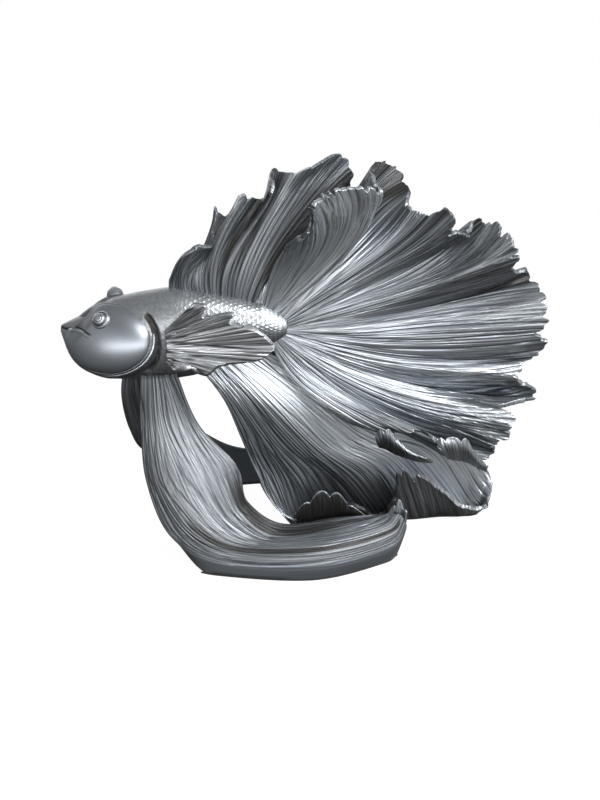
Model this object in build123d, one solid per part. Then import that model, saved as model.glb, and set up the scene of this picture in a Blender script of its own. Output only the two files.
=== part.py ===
from build123d import *
import os
import numpy as np

# Long-finned fish figurine, cast in resin and painted, glued up from separate castings.
# Millimetres. The fish swims towards -X, its left side faces -Y, and the table is z = 0.
# The origin is on the table, in the fish's median plane, under the middle foot.

# Body casting
BODY_LENGTH = 147.0          # snout tip to the blunt end of the trunk
BODY_HEIGHT = 61.0           # deepest section
BODY_WIDTH = 42.0            # widest section
BODY_AXIS_HEIGHT = 150.0     # middle of the body above the table
SNOUT_AHEAD = 155.5          # snout tip ahead of the middle foot
MOUTH_LENGTH = 15.0
MOUTH_GAPE = 1.2

# Gill covers
GILL_LENGTH = 57.0
GILL_HEIGHT = 47.0
GILL_BULGE = 12.5
GILL_SPREAD = 29.0           # between the middles of the two seats
GILL_RISE = 5.0              # seat middle above the head's middle
GILL_RIM = 1.6               # how far the rim stands out round the dome
GILL_RIM_THICKNESS = 2.4
GILL_SPIGOT_DIAMETER = 9.0
GILL_SPIGOT_LENGTH = 6.0
EYE_DIAMETER = 12.0
EYE_BULGE = 5.4
LEFT_EYE_OUT = 16.0          # eye's middle from the head's median plane
RIGHT_EYE_OUT = 9.0
PUPIL_DIAMETER = 5.5
PUPIL_BULGE = 1.2

# Fins
FIN_ROOT_THICKNESS = 5.0
FIN_RIM_THICKNESS = 3.0
SLOT_DEPTH = 9.0             # how deep a fin's root sits in the body
TAIL_REACH = 174.0           # trunk end to the rim
TAIL_ROOT_SPREAD = 24.0      # height of the root where it leaves the trunk
TAIL_ROOT_SAG_ABOVE = 16.0   # how far ahead of the trunk's end the top ray starts
TAIL_ROOT_SAG_BELOW = 10.0
TAIL_TONGUE = 16.0           # part of the tail set in the trunk
TAIL_TONGUE_SLANT = 3.0
TAIL_TONGUE_SPREAD = 16.0
TAIL_PLEAT_DEPTH = 3.2       # how far the deepest pleat stands out at the rim
DORSAL_HEIGHT = 82.0         # highest tip above the front of its root
DORSAL_ROOT_LENGTH = 55.0
DORSAL_BEFORE_TAIL = 20.0    # end of its root to the end of the trunk
ANAL_SWEEP = 204.0           # root front to the last tip
ANAL_DEPTH = 31.0            # furthest fold from the median plane
PECTORAL_BEHIND_GILL = 5.9   # its root from the rear edge of the gill cover
PECTORAL_LENGTH = 68.0
PECTORAL_HEIGHT = 48.0
PECTORAL_FLARE = 17.0
PECTORAL_THICKNESS = 2.6
PECTORAL_TENON_LENGTH = 9.0
PECTORAL_TENON_THICKNESS = 6.0
PECTORAL_TENON_HEIGHT = 24.0
PELVIC_SWEEP = 176.0         # root front to the foot's end
PELVIC_ROOT_OFFSET = 11.0    # root plane from the median plane
LEFT_STANCE = 64.0           # left foot's outer edge from the median plane
RIGHT_STANCE = 97.0
PELVIC_FOOT_FROM_SHARE = 0.55
FOOT_TUCK_SHARE = 0.04       # how far a foot's end is drawn in at the table

# Feet
PAD_THICKNESS = 1.2
FOOT_DROP = 4.0              # how far a foot is built below its pad before it is cut flat

# Fits
GLUE_GAP = 0.3               # each side of a root in its slot
SLOT_END_GAP = 0.6           # at each end of a root in its slot
SEAT_GAP = 0.2
OVERRUN = 4.0                # past the surface, for every cut

# Shares of the sizes above, read off the figurine's outline
# Body sections: along, rise, half height, half width, aside
BODY_SECTIONS_SHARES = [
    (0.000, -0.01, 0.045, 0.080, 0.10), (0.020, -0.09, 0.150, 0.170, 0.10),
    (0.065, -0.15, 0.255, 0.300, 0.09), (0.125, -0.15, 0.350, 0.410, 0.07),
    (0.190, -0.13, 0.420, 0.460, 0.05), (0.240, -0.10, 0.455, 0.480, 0.04),
    (0.385, -0.06, 0.490, 0.500, 0.01), (0.510, -0.03, 0.500, 0.490, 0.00),
    (0.635, -0.01, 0.450, 0.430, 0.00), (0.790, 0.04, 0.325, 0.330, 0.00),
    (0.890, 0.06, 0.240, 0.270, 0.00), (0.940, 0.05, 0.180, 0.230, 0.00),
    (0.980, 0.05, 0.120, 0.190, 0.00), (1.000, 0.05, 0.080, 0.150, 0.00),
]
RAY_LEAD_SHARE = 0.36        # how far a ray holds its first and last directions
RAY_FOLLOW_SHARE = 0.30
TAIL_LEAN_SHARE = 0.35       # how much of its way aside a ray has gone near its tip
DORSAL_LEAN_SHARE = 0.9
GILL_ALONG_SHARE = 0.24
LEFT_EYE_ALONG_SHARE = 0.20
RIGHT_EYE_ALONG_SHARE = 0.25   # the modelled head is not quite even
CROWN_ALONG_SHARE = 0.285
ANAL_ALONG_SHARE = 0.62
PELVIC_ALONG_SHARE = 0.35
HEAD_TURN = 6.0              # degrees, nose away from the left side
GILL_SPLAY = 11.0            # degrees, front edge nearer the middle than the rear
GILL_LEAN = 26.0             # degrees, top edge nearer the middle than the bottom
BROW_SLOPE = 24.0            # degrees, from the ridge down to each side
MOUTH_DROOP = 24.0           # degrees, corners below the lips

# Tail rays: tip along, up and aside, as shares of the reach
TAIL_TIPS_SHARES = [
    (0.02, 0.33, -0.08), (0.09, 0.41, -0.16), (0.07, 0.51, -0.21), (0.14, 0.54, -0.15),
    (0.23, 0.56, -0.09), (0.33, 0.55, -0.02), (0.30, 0.56, 0.14), (0.37, 0.57, 0.24),
    (0.44, 0.51, 0.20), (0.45, 0.46, 0.01), (0.52, 0.44, -0.05), (0.57, 0.47, -0.07),
    (0.64, 0.37, -0.02), (0.71, 0.36, 0.13), (0.76, 0.38, 0.07), (0.82, 0.36, -0.06),
    (0.84, 0.30, -0.09), (0.92, 0.17, 0.10), (0.96, 0.11, 0.03), (0.99, 0.00, -0.05),
    (0.95, -0.12, 0.02), (0.90, -0.20, -0.03), (1.00, -0.34, 0.10), (0.87, -0.32, -0.03),
    (0.87, -0.38, -0.09), (0.83, -0.46, -0.05), (0.80, -0.58, 0.01), (0.67, -0.50, -0.09),
    (0.57, -0.38, -0.15), (0.46, -0.38, -0.13), (0.34, -0.43, -0.06),
]
# Tail rays: direction at the root and at the tip, in degrees
TAIL_TURNS = [
    (80, 40), (72, 45), (63, 112), (48, 112), (44, 104), (40, 92), (48, 60), (47, 44),
    (44, 16), (40, 60), (36, 50), (33, 54), (30, 28), (27, 30), (24, 56), (20, 46),
    (14, 26), (8, 18), (0, 4), (-12, 6), (-19, 8), (-26, -2), (-31, -2), (-35, -4),
    (-38, -8), (-42, -14), (-47, -20), (-52, -16), (-59, -4), (-67, -14), (-76, -24),
]
# Tail pleats between each two rays: depth, of the deepest; those below zero stand to the right
TAIL_PLEATS_SHARES = [
    0.5, 0.8, -0.3, 0.7, 0.4, -0.3, 0.4, 0.3, -0.3, 0.5, 0.9, 0.6, 0.8, 0.3, -0.6,
    0.7, 1.0, 0.6, 0.9, 0.7, 1.0, -0.6, 0.8, 0.9, 0.5, -0.7, 1.0, 0.8, 0.6, 0.9,
]
PLEAT_GROWTH_SHARES = (0, 0, 0, 0, 0, 0.3, 1)   # at each control point of a ray
# Dorsal rays: root along, as a share of the root; tip along and up, and aside, of the height
DORSAL_RAYS_SHARES = [
    (0.00, 0.00, 0.08, -0.02), (0.07, 0.08, 0.25, -0.07), (0.15, 0.23, 0.41, -0.13),
    (0.23, 0.35, 0.37, 0.06), (0.31, 0.36, 0.58, 0.25), (0.39, 0.45, 0.55, 0.12),
    (0.46, 0.57, 0.75, 0.00), (0.54, 0.70, 0.68, 0.14), (0.62, 0.82, 0.77, 0.05),
    (0.70, 0.84, 0.88, 0.26), (0.78, 1.02, 0.92, 0.22), (0.85, 1.18, 0.96, 0.32),
    (0.91, 1.34, 0.96, 0.41), (0.96, 1.44, 0.80, 0.42), (1.00, 1.40, 0.60, 0.42),
]
DORSAL_TURNS = [
    (110, 100), (104, 80), (102, 64), (99, 70), (96, 86), (93, 70), (91, 64), (88, 62),
    (85, 62), (82, 76), (78, 62), (75, 52), (73, 48), (70, 34), (66, 40),
]
# Anal rays, root to tip: along as a share of the sweep, up of the root's height, aside of the depth
ANAL_RAYS_SHARES = [
    [(0.00, 1.00, 0.00), (0.07, 0.83, 0.00), (0.12, 0.59, 0.05), (0.16, 0.38, 0.12),
     (0.21, 0.19, 0.06), (0.31, 0.01, -0.07)],
    [(0.018, 1.00, 0.00), (0.10, 0.82, -0.06), (0.17, 0.58, 0.00), (0.24, 0.33, 0.12),
     (0.31, 0.02, -0.01), (0.36, 0.19, -0.28)],
    [(0.036, 1.00, 0.00), (0.13, 0.80, -0.13), (0.22, 0.56, -0.06), (0.31, 0.32, 0.06),
     (0.39, 0.01, 0.16), (0.43, 0.24, -0.19)],
    [(0.054, 1.00, 0.00), (0.17, 0.79, -0.19), (0.28, 0.55, -0.13), (0.40, 0.31, 0.10),
     (0.49, 0.01, 0.29), (0.49, 0.20, -0.29)],
    [(0.072, 1.00, 0.00), (0.21, 0.79, -0.26), (0.34, 0.54, -0.19), (0.47, 0.31, 0.06),
     (0.58, 0.01, 0.39), (0.57, 0.15, -0.40)],
    [(0.09, 1.00, 0.00), (0.25, 0.78, -0.24), (0.39, 0.53, -0.17), (0.54, 0.33, 0.10),
     (0.65, 0.01, 0.45), (0.63, 0.24, -0.36)],
    [(0.11, 1.00, 0.00), (0.28, 0.78, -0.16), (0.44, 0.51, 0.00), (0.59, 0.34, 0.20),
     (0.71, 0.01, 0.49), (0.64, 0.42, -0.42)],
    [(0.13, 1.00, 0.00), (0.30, 0.78, -0.02), (0.48, 0.52, 0.15), (0.64, 0.36, 0.38),
     (0.79, 0.01, 0.60), (0.74, 0.34, -0.32)],
    [(0.145, 1.00, 0.00), (0.31, 0.79, 0.08), (0.52, 0.51, 0.32), (0.69, 0.37, 0.52),
     (0.87, 0.01, 0.71), (0.85, 0.17, -0.06)],
    [(0.16, 1.00, 0.00), (0.32, 0.81, 0.25), (0.55, 0.53, 0.40), (0.78, 0.39, 0.65),
     (0.93, 0.04, 0.87), (0.96, 0.09, 0.32)],
    [(0.18, 1.00, 0.00), (0.325, 0.855, 0.36), (0.59, 0.585, 0.48), (0.85, 0.42, 0.77),
     (0.96, 0.25, 1.00), (1.00, 0.13, 0.75)],
]
# Pectoral rays: tip along, up and out, as shares of length, height and flare
PECTORAL_TIPS_SHARES = [
    (0.26, 0.66, 0.55), (0.39, 0.67, 0.75), (0.37, 0.50, 0.62), (0.64, 0.61, 0.95),
    (0.61, 0.44, 0.74), (0.84, 0.37, 0.95), (0.98, 0.17, 0.80), (1.00, 0.08, 0.92),
    (0.84, -0.10, 0.75), (0.53, -0.12, 0.92), (0.37, -0.31, 0.75), (0.21, -0.17, 0.78),
    (0.07, -0.28, 0.50),
]
# Pelvic rays, root to tip: along as a share of the sweep, up of the root's height, out of the stance
LEFT_PELVIC_SHARES = [
    [(0.00, 1.00, 0.16), (0.00, 0.72, 0.25), (0.02, 0.45, 0.47), (0.11, 0.19, 0.74),
     (0.30, 0.08, 0.92), (0.66, 0.09, 1.00), (0.93, 0.11, 0.70), (1.00, 0.21, 0.53)],
    [(0.04, 1.00, 0.17), (0.05, 0.72, 0.31), (0.10, 0.46, 0.59), (0.22, 0.24, 0.78),
     (0.40, 0.15, 0.85), (0.67, 0.18, 0.90), (0.92, 0.20, 0.63), (0.98, 0.28, 0.52)],
    [(0.07, 1.00, 0.17), (0.10, 0.72, 0.31), (0.20, 0.46, 0.56), (0.30, 0.25, 0.69),
     (0.45, 0.15, 0.74), (0.68, 0.18, 0.77), (0.90, 0.21, 0.57), (0.96, 0.28, 0.50)],
    [(0.11, 1.00, 0.17), (0.17, 0.72, 0.25), (0.28, 0.46, 0.45), (0.36, 0.25, 0.56),
     (0.50, 0.13, 0.58), (0.71, 0.17, 0.58), (0.88, 0.22, 0.47), (0.95, 0.26, 0.45)],
    [(0.14, 1.00, 0.16), (0.21, 0.70, 0.17), (0.35, 0.50, 0.31), (0.39, 0.29, 0.38),
     (0.53, 0.17, 0.39), (0.73, 0.21, 0.39), (0.87, 0.22, 0.38), (0.94, 0.22, 0.39)],
]
RIGHT_PELVIC_SHARES = [
    [(-0.08, 1.00, 0.11), (-0.10, 0.80, 0.17), (-0.09, 0.54, 0.31), (-0.05, 0.31, 0.52),
     (0.10, 0.12, 0.80), (0.35, 0.08, 1.00), (0.64, 0.08, 1.00), (0.85, 0.12, 0.86)],
    [(-0.02, 1.00, 0.12), (-0.02, 0.80, 0.19), (0.02, 0.55, 0.35), (0.09, 0.37, 0.56),
     (0.24, 0.21, 0.75), (0.45, 0.18, 0.85), (0.68, 0.18, 0.85), (0.85, 0.17, 0.75)],
    [(0.04, 1.00, 0.11), (0.07, 0.81, 0.17), (0.12, 0.60, 0.31), (0.19, 0.42, 0.50),
     (0.33, 0.28, 0.64), (0.52, 0.22, 0.69), (0.70, 0.21, 0.69), (0.83, 0.19, 0.63)],
]


def body_section(along):
    """Middle, half height and half width of the body at a share of its length."""
    rows = np.array(BODY_SECTIONS_SHARES)
    rise, tall, wide, aside = (np.interp(along, rows[:, 0], rows[:, k]) for k in range(1, 5))
    middle = np.array([
        along * BODY_LENGTH - SNOUT_AHEAD,
        aside * BODY_WIDTH,
        BODY_AXIS_HEIGHT + rise * BODY_HEIGHT,
    ])
    return middle, tall * BODY_HEIGHT, wide * BODY_WIDTH


def along_of(x):
    """Share of the body's length at a place along the fish."""
    return (x + SNOUT_AHEAD) / BODY_LENGTH


def through(points):
    """Control points of the chain of cubic curves that runs smoothly through rows of points."""
    ends = np.concatenate([[2 * points[0] - points[1]], points, [2 * points[-1] - points[-2]]])
    chain = [points[0]]
    for before, start, end, after in zip(ends, ends[1:], ends[2:], ends[3:]):
        chain += [start + (end - before) / 6, end - (after - start) / 6, end]
    return np.array(chain)


def on_chain(chain):
    """Places on a chain of cubic curves, at the thirds of each curve."""
    places = [chain[0]]
    for k in range(0, len(chain) - 1, 3):
        a, b, c, d = chain[k:k + 4]
        for t in (1 / 3, 2 / 3, 1):
            places.append((1 - t)**3 * a + 3 * t * (1 - t)**2 * b + 3 * t**2 * (1 - t) * c + t**3 * d)
    return np.array(places)


def set_in(inner, chain):
    """A ray with a straight stretch before it, for the root that sits in the body."""
    inner, root = np.array(inner), chain[0]
    return np.vstack([inner, (2 * inner + root) / 3, (inner + 2 * root) / 3, chain])


def facings(rays):
    """Unit normals of a fan, at each control point of each ray."""
    places = np.array([on_chain(ray) for ray in rays])
    facing = np.cross(np.gradient(places, axis=1), np.gradient(places, axis=0))
    return facing / np.linalg.norm(facing, axis=2, keepdims=True)


def patches(net):
    """Smooth faces over a net of control points, one for each block of four by four."""
    faces = []
    for i in range(0, net.shape[0] - 1, 3):
        for j in range(0, net.shape[1] - 1, 3):
            block = net[i:i + 4, j:j + 4]
            faces.append(Face.make_bezier_surface([[Vector(*point) for point in row] for row in block]))
    return faces


def edge_strip(row_a, row_b):
    """Narrow faces between two matching rows of control points."""
    faces = []
    for j in range(0, len(row_a) - 1, 3):
        rows = [row_a[j:j + 4], row_b[j:j + 4]]
        faces.append(Face.make_bezier_surface([[Vector(*point) for point in row] for row in rows]))
    return faces


def closed_solid(front, back):
    """Solid between two nets of control points."""
    faces = patches(front) + patches(back)
    for k in (0, -1):
        faces += edge_strip(front[k], back[k])
        faces += edge_strip(front[:, k], back[:, k])
    return Solid(Shell(faces))


def swept_ray(inner, root, tip, turns, lean):
    """Control points of a ray: straight in its slot, then a curve that leans aside on its way out."""
    start, end = np.radians(turns)
    reach = np.linalg.norm(tip - root)
    lead = root + reach * RAY_LEAD_SHARE * np.array([np.cos(start), 0, np.sin(start)])
    follow = tip - reach * RAY_FOLLOW_SHARE * np.array([np.cos(end), 0, np.sin(end)])
    follow[1] = root[1] + lean * (tip[1] - root[1])
    return set_in(inner, np.array([root, lead, follow, tip]))


def upright_slab(outline, half_thickness, aside):
    """Plate parallel to the median plane: its outline is places along and up."""
    face = make_face(Polyline([(x, aside, z) for x, z in outline], close=True))
    return extrude(face, amount=half_thickness, dir=(0, 1, 0), both=True)


def solid_of(shape):
    """The one solid of a result."""
    return max(shape.solids(), key=lambda solid: solid.volume)


def head_axes(side):
    """Forward, outward and upward directions of the turned head, and a seat's outward normal."""
    turn, splay, lean = np.radians([HEAD_TURN, GILL_SPLAY, GILL_LEAN])
    forward = np.array([-np.cos(turn), np.sin(turn), 0])
    outward = side * np.array([np.sin(turn), np.cos(turn), 0])
    facing = np.cos(splay) * outward + np.sin(splay) * forward
    normal = np.cos(lean) * facing + np.array([0, 0, np.sin(lean)])
    ahead = forward - normal * (forward @ normal)
    ahead[2] = 0
    ahead = ahead / np.linalg.norm(ahead)
    upward = np.cross(normal, ahead)
    upward = upward * np.sign(upward[2])
    return outward, normal, ahead, upward


def gill_seat(side):
    """Middle of a gill cover's seat on the head; side is -1 for left and 1 for right."""
    middle = body_section(GILL_ALONG_SHARE)[0]
    outward = head_axes(side)[0]
    return middle + outward * GILL_SPREAD / 2 + np.array([0, 0, GILL_RISE])


def seat_plane(side):
    outward, normal, ahead, upward = head_axes(side)
    return Plane(origin=tuple(gill_seat(side)), x_dir=tuple(ahead), z_dir=tuple(normal))


def mouth_slit():
    """Thin wedge sawn up and back into the snout."""
    lips = body_section(0)[0] - np.array([OVERRUN, 0, 0])
    box = Box(MOUTH_LENGTH + OVERRUN, BODY_WIDTH, MOUTH_GAPE, align=(Align.MIN, Align.CENTER, Align.CENTER))
    return Location(tuple(lips)) * Rotation(0, MOUTH_DROOP, 0) * box


def brow_plane(side, along, out):
    """Plane that slopes down to one side from the ridge between snout and crown, at a place on it."""
    snout, snout_tall, wide = body_section(0)
    crown, crown_tall, wide = body_section(CROWN_ALONG_SHARE)
    snout[2] += snout_tall
    crown[2] += crown_tall
    ridge = (snout - crown) / np.linalg.norm(snout - crown)
    slope = np.radians(BROW_SLOPE)
    outward = head_axes(side)[0]
    down = np.cos(slope) * outward - np.sin(slope) * np.array([0, 0, 1])
    facing = np.cross(ridge, down)
    facing = facing * np.sign(facing[2])
    place = snout + (crown - snout) * (along / CROWN_ALONG_SHARE) + down * out / np.cos(slope)
    return Plane(origin=tuple(place), x_dir=tuple(ridge), z_dir=tuple(facing))


def gill_cover(side):
    """Domed cover with a flat back, a raised rim, a spigot, a brow cut along the ridge and an eye."""
    half_long, half_tall = GILL_LENGTH / 2, GILL_HEIGHT / 2
    dome = scale(Sphere(1), by=(half_long, half_tall, GILL_BULGE))
    above = Box(GILL_LENGTH, GILL_HEIGHT, GILL_BULGE, align=(Align.CENTER, Align.CENTER, Align.MIN))
    rim = extrude(Ellipse(half_long + GILL_RIM, half_tall + GILL_RIM), amount=GILL_RIM_THICKNESS)
    spigot = Cylinder(
        GILL_SPIGOT_DIAMETER / 2, GILL_SPIGOT_LENGTH,
        align=(Align.CENTER, Align.CENTER, Align.MAX),
    )
    seated = seat_plane(side).offset(SEAT_GAP)
    cover = seated * (dome & above) + seated * rim + seated * spigot

    over_brow = Box(
        2 * GILL_LENGTH, 2 * GILL_LENGTH, GILL_HEIGHT, align=(Align.CENTER, Align.CENTER, Align.MIN))
    cover -= brow_plane(side, 0, 0) * over_brow
    if side < 0:
        eye_plane = brow_plane(side, LEFT_EYE_ALONG_SHARE, LEFT_EYE_OUT)
    else:
        eye_plane = brow_plane(side, RIGHT_EYE_ALONG_SHARE, RIGHT_EYE_OUT)
    radius = EYE_DIAMETER / 2
    ball = scale(Sphere(1), by=(radius, radius, EYE_BULGE))
    pupil = Pos(0, 0, EYE_BULGE - PUPIL_BULGE) * scale(Sphere(1), by=(
        PUPIL_DIAMETER / 2, PUPIL_DIAMETER / 2, 2 * PUPIL_BULGE))
    eye = (eye_plane * ball + eye_plane * pupil) & (seated * over_brow)
    cover = cover + eye
    return solid_of(cover - mouth_slit())


def back_height(x):
    middle, tall, wide = body_section(along_of(x))
    return middle[2] + tall


def belly_height(x, aside=0):
    """Height of the body's underside at a place along it and beside its median plane."""
    middle, tall, wide = body_section(along_of(x))
    return middle[2] - tall * np.sqrt(1 - ((aside - middle[1]) / wide)**2)


def pleated(rays, depth, shares):
    """The fan with one more ray between each two, set off to the left near the rim by its pleat's depth."""
    ends = np.concatenate([[2 * rays[0] - rays[1]], rays, [2 * rays[-1] - rays[-2]]])
    fan = np.repeat(rays, 2, axis=0)[:-1]
    fan[1::2] = (9 * (ends[1:-2] + ends[2:-1]) - ends[:-3] - ends[3:]) / 16
    facing = facings(fan)
    facing = facing * -np.sign(facing[:, :, 1].mean())
    growth = np.outer(shares, PLEAT_GROWTH_SHARES)[..., None]
    fan[1::2] += depth * growth * facing[1::2]
    return fan


def tail_rays():
    """Fan of rays from the trunk's blunt end, with its root set in the trunk."""
    middle = body_section(1)[0]
    count = len(TAIL_TIPS_SHARES)
    rays = []
    for index, (tip_share, turns) in enumerate(zip(TAIL_TIPS_SHARES, TAIL_TURNS)):
        spread = 1 - 2 * index / (count - 1)
        sag = TAIL_ROOT_SAG_ABOVE if spread > 0 else TAIL_ROOT_SAG_BELOW
        root = middle + np.array([-sag * spread**2, 0, TAIL_ROOT_SPREAD / 2 * spread])
        inner = middle + np.array([
            -TAIL_TONGUE - TAIL_TONGUE_SLANT * spread, 0, TAIL_TONGUE_SPREAD / 2 * spread])
        along, up, aside = tip_share
        tip = middle + TAIL_REACH * np.array([along, aside, up])
        rays.append(swept_ray(inner, root, tip, turns, TAIL_LEAN_SHARE))
    return pleated(np.array(rays), TAIL_PLEAT_DEPTH, TAIL_PLEATS_SHARES)


def dorsal_ends():
    """Places along the fish where the dorsal fin's root starts and ends."""
    rear = body_section(1)[0][0] - DORSAL_BEFORE_TAIL
    return rear - DORSAL_ROOT_LENGTH, rear


def dorsal_rays():
    """Fan of rays from the back, leaning to the right of the fish, with its root set in the back."""
    front, rear = dorsal_ends()
    heights = back_height(front) - SLOT_DEPTH, back_height(rear) - SLOT_DEPTH
    base = np.array([front, 0, back_height(front)])
    rays = []
    for (at, along, up, aside), turns in zip(DORSAL_RAYS_SHARES, DORSAL_TURNS):
        x = front + at * DORSAL_ROOT_LENGTH
        root = np.array([x, 0, back_height(x)])
        inner = np.array([x, 0, heights[0] + at * (heights[1] - heights[0])])
        tip = base + DORSAL_HEIGHT * np.array([along, aside, up])
        rays.append(swept_ray(inner, root, tip, turns, DORSAL_LEAN_SHARE))
    return rays


def anal_rays():
    """Rays from the belly down to the table, swept back and curled up at the rim."""
    front = ANAL_ALONG_SHARE * BODY_LENGTH - SNOUT_AHEAD
    rays = []
    for row in ANAL_RAYS_SHARES:
        root_x = front + row[0][0] * ANAL_SWEEP
        root_height = belly_height(root_x)
        points = [(front + x * ANAL_SWEEP, y * ANAL_DEPTH, z * root_height) for x, z, y in row]
        rays.append(set_in((root_x, 0, root_height + SLOT_DEPTH), through(np.array(points))))
    return rays


def pelvic_rays(side):
    """Rays of a ribbon from the belly down and out to its foot on the table."""
    shares, stance = (LEFT_PELVIC_SHARES, LEFT_STANCE) if side < 0 else (RIGHT_PELVIC_SHARES, RIGHT_STANCE)
    front = PELVIC_ALONG_SHARE * BODY_LENGTH - SNOUT_AHEAD
    rays = []
    for row in shares:
        root_x = front + row[0][0] * PELVIC_SWEEP
        aside = side * PELVIC_ROOT_OFFSET
        root_height = belly_height(root_x, aside)
        points = [(front + x * PELVIC_SWEEP, side * y * stance, z * root_height) for x, z, y in row[1:]]
        points = [(root_x, aside, root_height)] + points
        rays.append(set_in((root_x, aside, root_height + SLOT_DEPTH), through(np.array(points))))
    return rays


def pectoral_place():
    """Section of the body that the pectoral fins stand on, behind the gill covers."""
    gill_end = body_section(GILL_ALONG_SHARE)[0][0] + GILL_LENGTH / 2 + GILL_RIM
    return body_section(along_of(gill_end + PECTORAL_BEHIND_GILL))


def pectoral_rays(side):
    middle, tall, wide = pectoral_place()
    root_x = middle[0]
    stand = wide + PECTORAL_THICKNESS / 2 + GLUE_GAP
    count = len(PECTORAL_TIPS_SHARES)
    rays = []
    for index, (along, up, out) in enumerate(PECTORAL_TIPS_SHARES):
        spread = 1 - 2 * index / (count - 1)
        root = np.array([root_x, side * stand, middle[2] + PECTORAL_TENON_HEIGHT / 2 * spread])
        reach = np.array([along * PECTORAL_LENGTH, side * out * PECTORAL_FLARE, up * PECTORAL_HEIGHT])
        tip = np.array([root_x, side * stand, middle[2]]) + reach
        rays.append(np.array([root + (tip - root) * t for t in (0, 1 / 3, 2 / 3, 1)]))
    return rays


def fin(rays, root_thickness, foot_from=None):
    """Solid fin over a fan of rays; past foot_from its underside drops to the table."""
    rays = np.array(rays)
    way = np.linspace(0, 1, rays.shape[1])[None, :, None]
    half = (root_thickness + (FIN_RIM_THICKNESS - root_thickness) * way) / 2
    facing = facings(rays)
    facing = facing * np.sign(facing[:, :, 2].mean())
    front, back = rays + facing * half, rays - facing * half
    if foot_from is not None:
        under = rays.copy()
        under[:, :, 0] -= (rays[:, :, 0] - rays[0, 0, 0]) * FOOT_TUCK_SHARE
        under[:, :, 2] = PAD_THICKNESS - FOOT_DROP
        drop = (way >= foot_from).astype(float)
        back = back * (1 - drop) + under * drop
    return closed_solid(through(front), through(back))


def above_pad(solid):
    """The part of a solid above the top of its pad."""
    size = 2 * (BODY_LENGTH + TAIL_REACH)
    keep = Pos(0, 0, PAD_THICKNESS) * Box(size, size, size, align=(Align.CENTER, Align.CENTER, Align.MIN))
    return solid_of(solid & keep)


def tail_fin():
    return fin(tail_rays(), FIN_ROOT_THICKNESS)


def dorsal_fin():
    return fin(dorsal_rays(), FIN_ROOT_THICKNESS)


def anal_fin():
    return above_pad(fin(anal_rays(), FIN_ROOT_THICKNESS))


def pelvic_fin(side):
    return above_pad(fin(pelvic_rays(side), FIN_ROOT_THICKNESS, PELVIC_FOOT_FROM_SHARE))


def pectoral_tenon(side, gap):
    """Block that joins a pectoral fin to the flank, or the hole for it."""
    middle, tall, wide = pectoral_place()
    length = PECTORAL_TENON_LENGTH + PECTORAL_THICKNESS + GLUE_GAP
    grown = [size + 2 * gap for size in (PECTORAL_TENON_THICKNESS, length, PECTORAL_TENON_HEIGHT)]
    inner = side * (wide - PECTORAL_TENON_LENGTH - gap)
    align = Align.MIN if side > 0 else Align.MAX
    return Pos(middle[0], inner, middle[2]) * Box(*grown, align=(Align.CENTER, align, Align.CENTER))


def pectoral_fin(side):
    return solid_of(fin(pectoral_rays(side), PECTORAL_THICKNESS) + pectoral_tenon(side, 0))


def foot_pad(foot):
    """Thin pad under the flat underside of a foot."""
    undersides = foot.faces().filter_by(Plane.XY).filter_by_position(
        Axis.Z, PAD_THICKNESS - GLUE_GAP, PAD_THICKNESS + GLUE_GAP)
    underside = max(undersides, key=lambda face: face.area)
    return solid_of(extrude(underside, amount=PAD_THICKNESS, dir=(0, 0, -1)))


def fin_slots():
    """Cuts in the body for the roots of the fins."""
    half = FIN_ROOT_THICKNESS / 2 + GLUE_GAP
    middle = body_section(1)[0]
    rays = tail_rays()
    above, below = rays[0][0], rays[-1][0]
    low, high = middle[2] - TAIL_ROOT_SPREAD, middle[2] + TAIL_ROOT_SPREAD
    beyond = middle[0] + OVERRUN
    tail = upright_slab([
        (below[0] - SLOT_END_GAP, low), (beyond, low), (beyond, high), (above[0] - SLOT_END_GAP, high),
        (above[0] - SLOT_END_GAP, above[2]), (below[0] - SLOT_END_GAP, below[2]),
    ], half, 0)

    front, rear = dorsal_ends()
    depth = SLOT_DEPTH + GLUE_GAP
    ahead, behind = front - SLOT_END_GAP, rear + SLOT_END_GAP
    dorsal = upright_slab([
        (ahead, back_height(front) - depth), (behind, back_height(rear) - depth),
        (behind, back_height(rear) + OVERRUN), (ahead, back_height(front) + OVERRUN),
    ], half, 0)
    cuts = [tail, dorsal]

    for rays in (anal_rays(), pelvic_rays(-1), pelvic_rays(1)):
        first, last = rays[0][0], rays[-1][0]
        cuts.append(upright_slab([
            (first[0] - SLOT_END_GAP, first[2] + GLUE_GAP), (last[0] + SLOT_END_GAP, last[2] + GLUE_GAP),
            (last[0] + SLOT_END_GAP, last[2] - SLOT_DEPTH - BODY_WIDTH / 2),
            (first[0] - SLOT_END_GAP, first[2] - SLOT_DEPTH - BODY_WIDTH / 2),
        ], half, first[1]))
    return cuts


def body_casting():
    """Head core and trunk in one: oval sections, cut for the gill covers and the roots of the fins."""
    sections = []
    for along in np.array(BODY_SECTIONS_SHARES)[:, 0]:
        middle, tall, wide = body_section(along)
        across = Plane(origin=tuple(middle), x_dir=(0, 1, 0), z_dir=(1, 0, 0))
        sections.append(across * Ellipse(wide, tall))
    body = loft(sections)
    for side in (-1, 1):
        rim = Ellipse(GILL_LENGTH / 2 + GILL_RIM + SEAT_GAP, GILL_HEIGHT / 2 + GILL_RIM + SEAT_GAP)
        body -= seat_plane(side) * extrude(rim, amount=BODY_WIDTH)
        body -= seat_plane(side) * Cylinder(
            GILL_SPIGOT_DIAMETER / 2 + SEAT_GAP, 2 * (GILL_SPIGOT_LENGTH + SEAT_GAP))
        body -= pectoral_tenon(side, GLUE_GAP)
    for cut in fin_slots() + [mouth_slit()]:
        body -= cut
    return solid_of(body)


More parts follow.
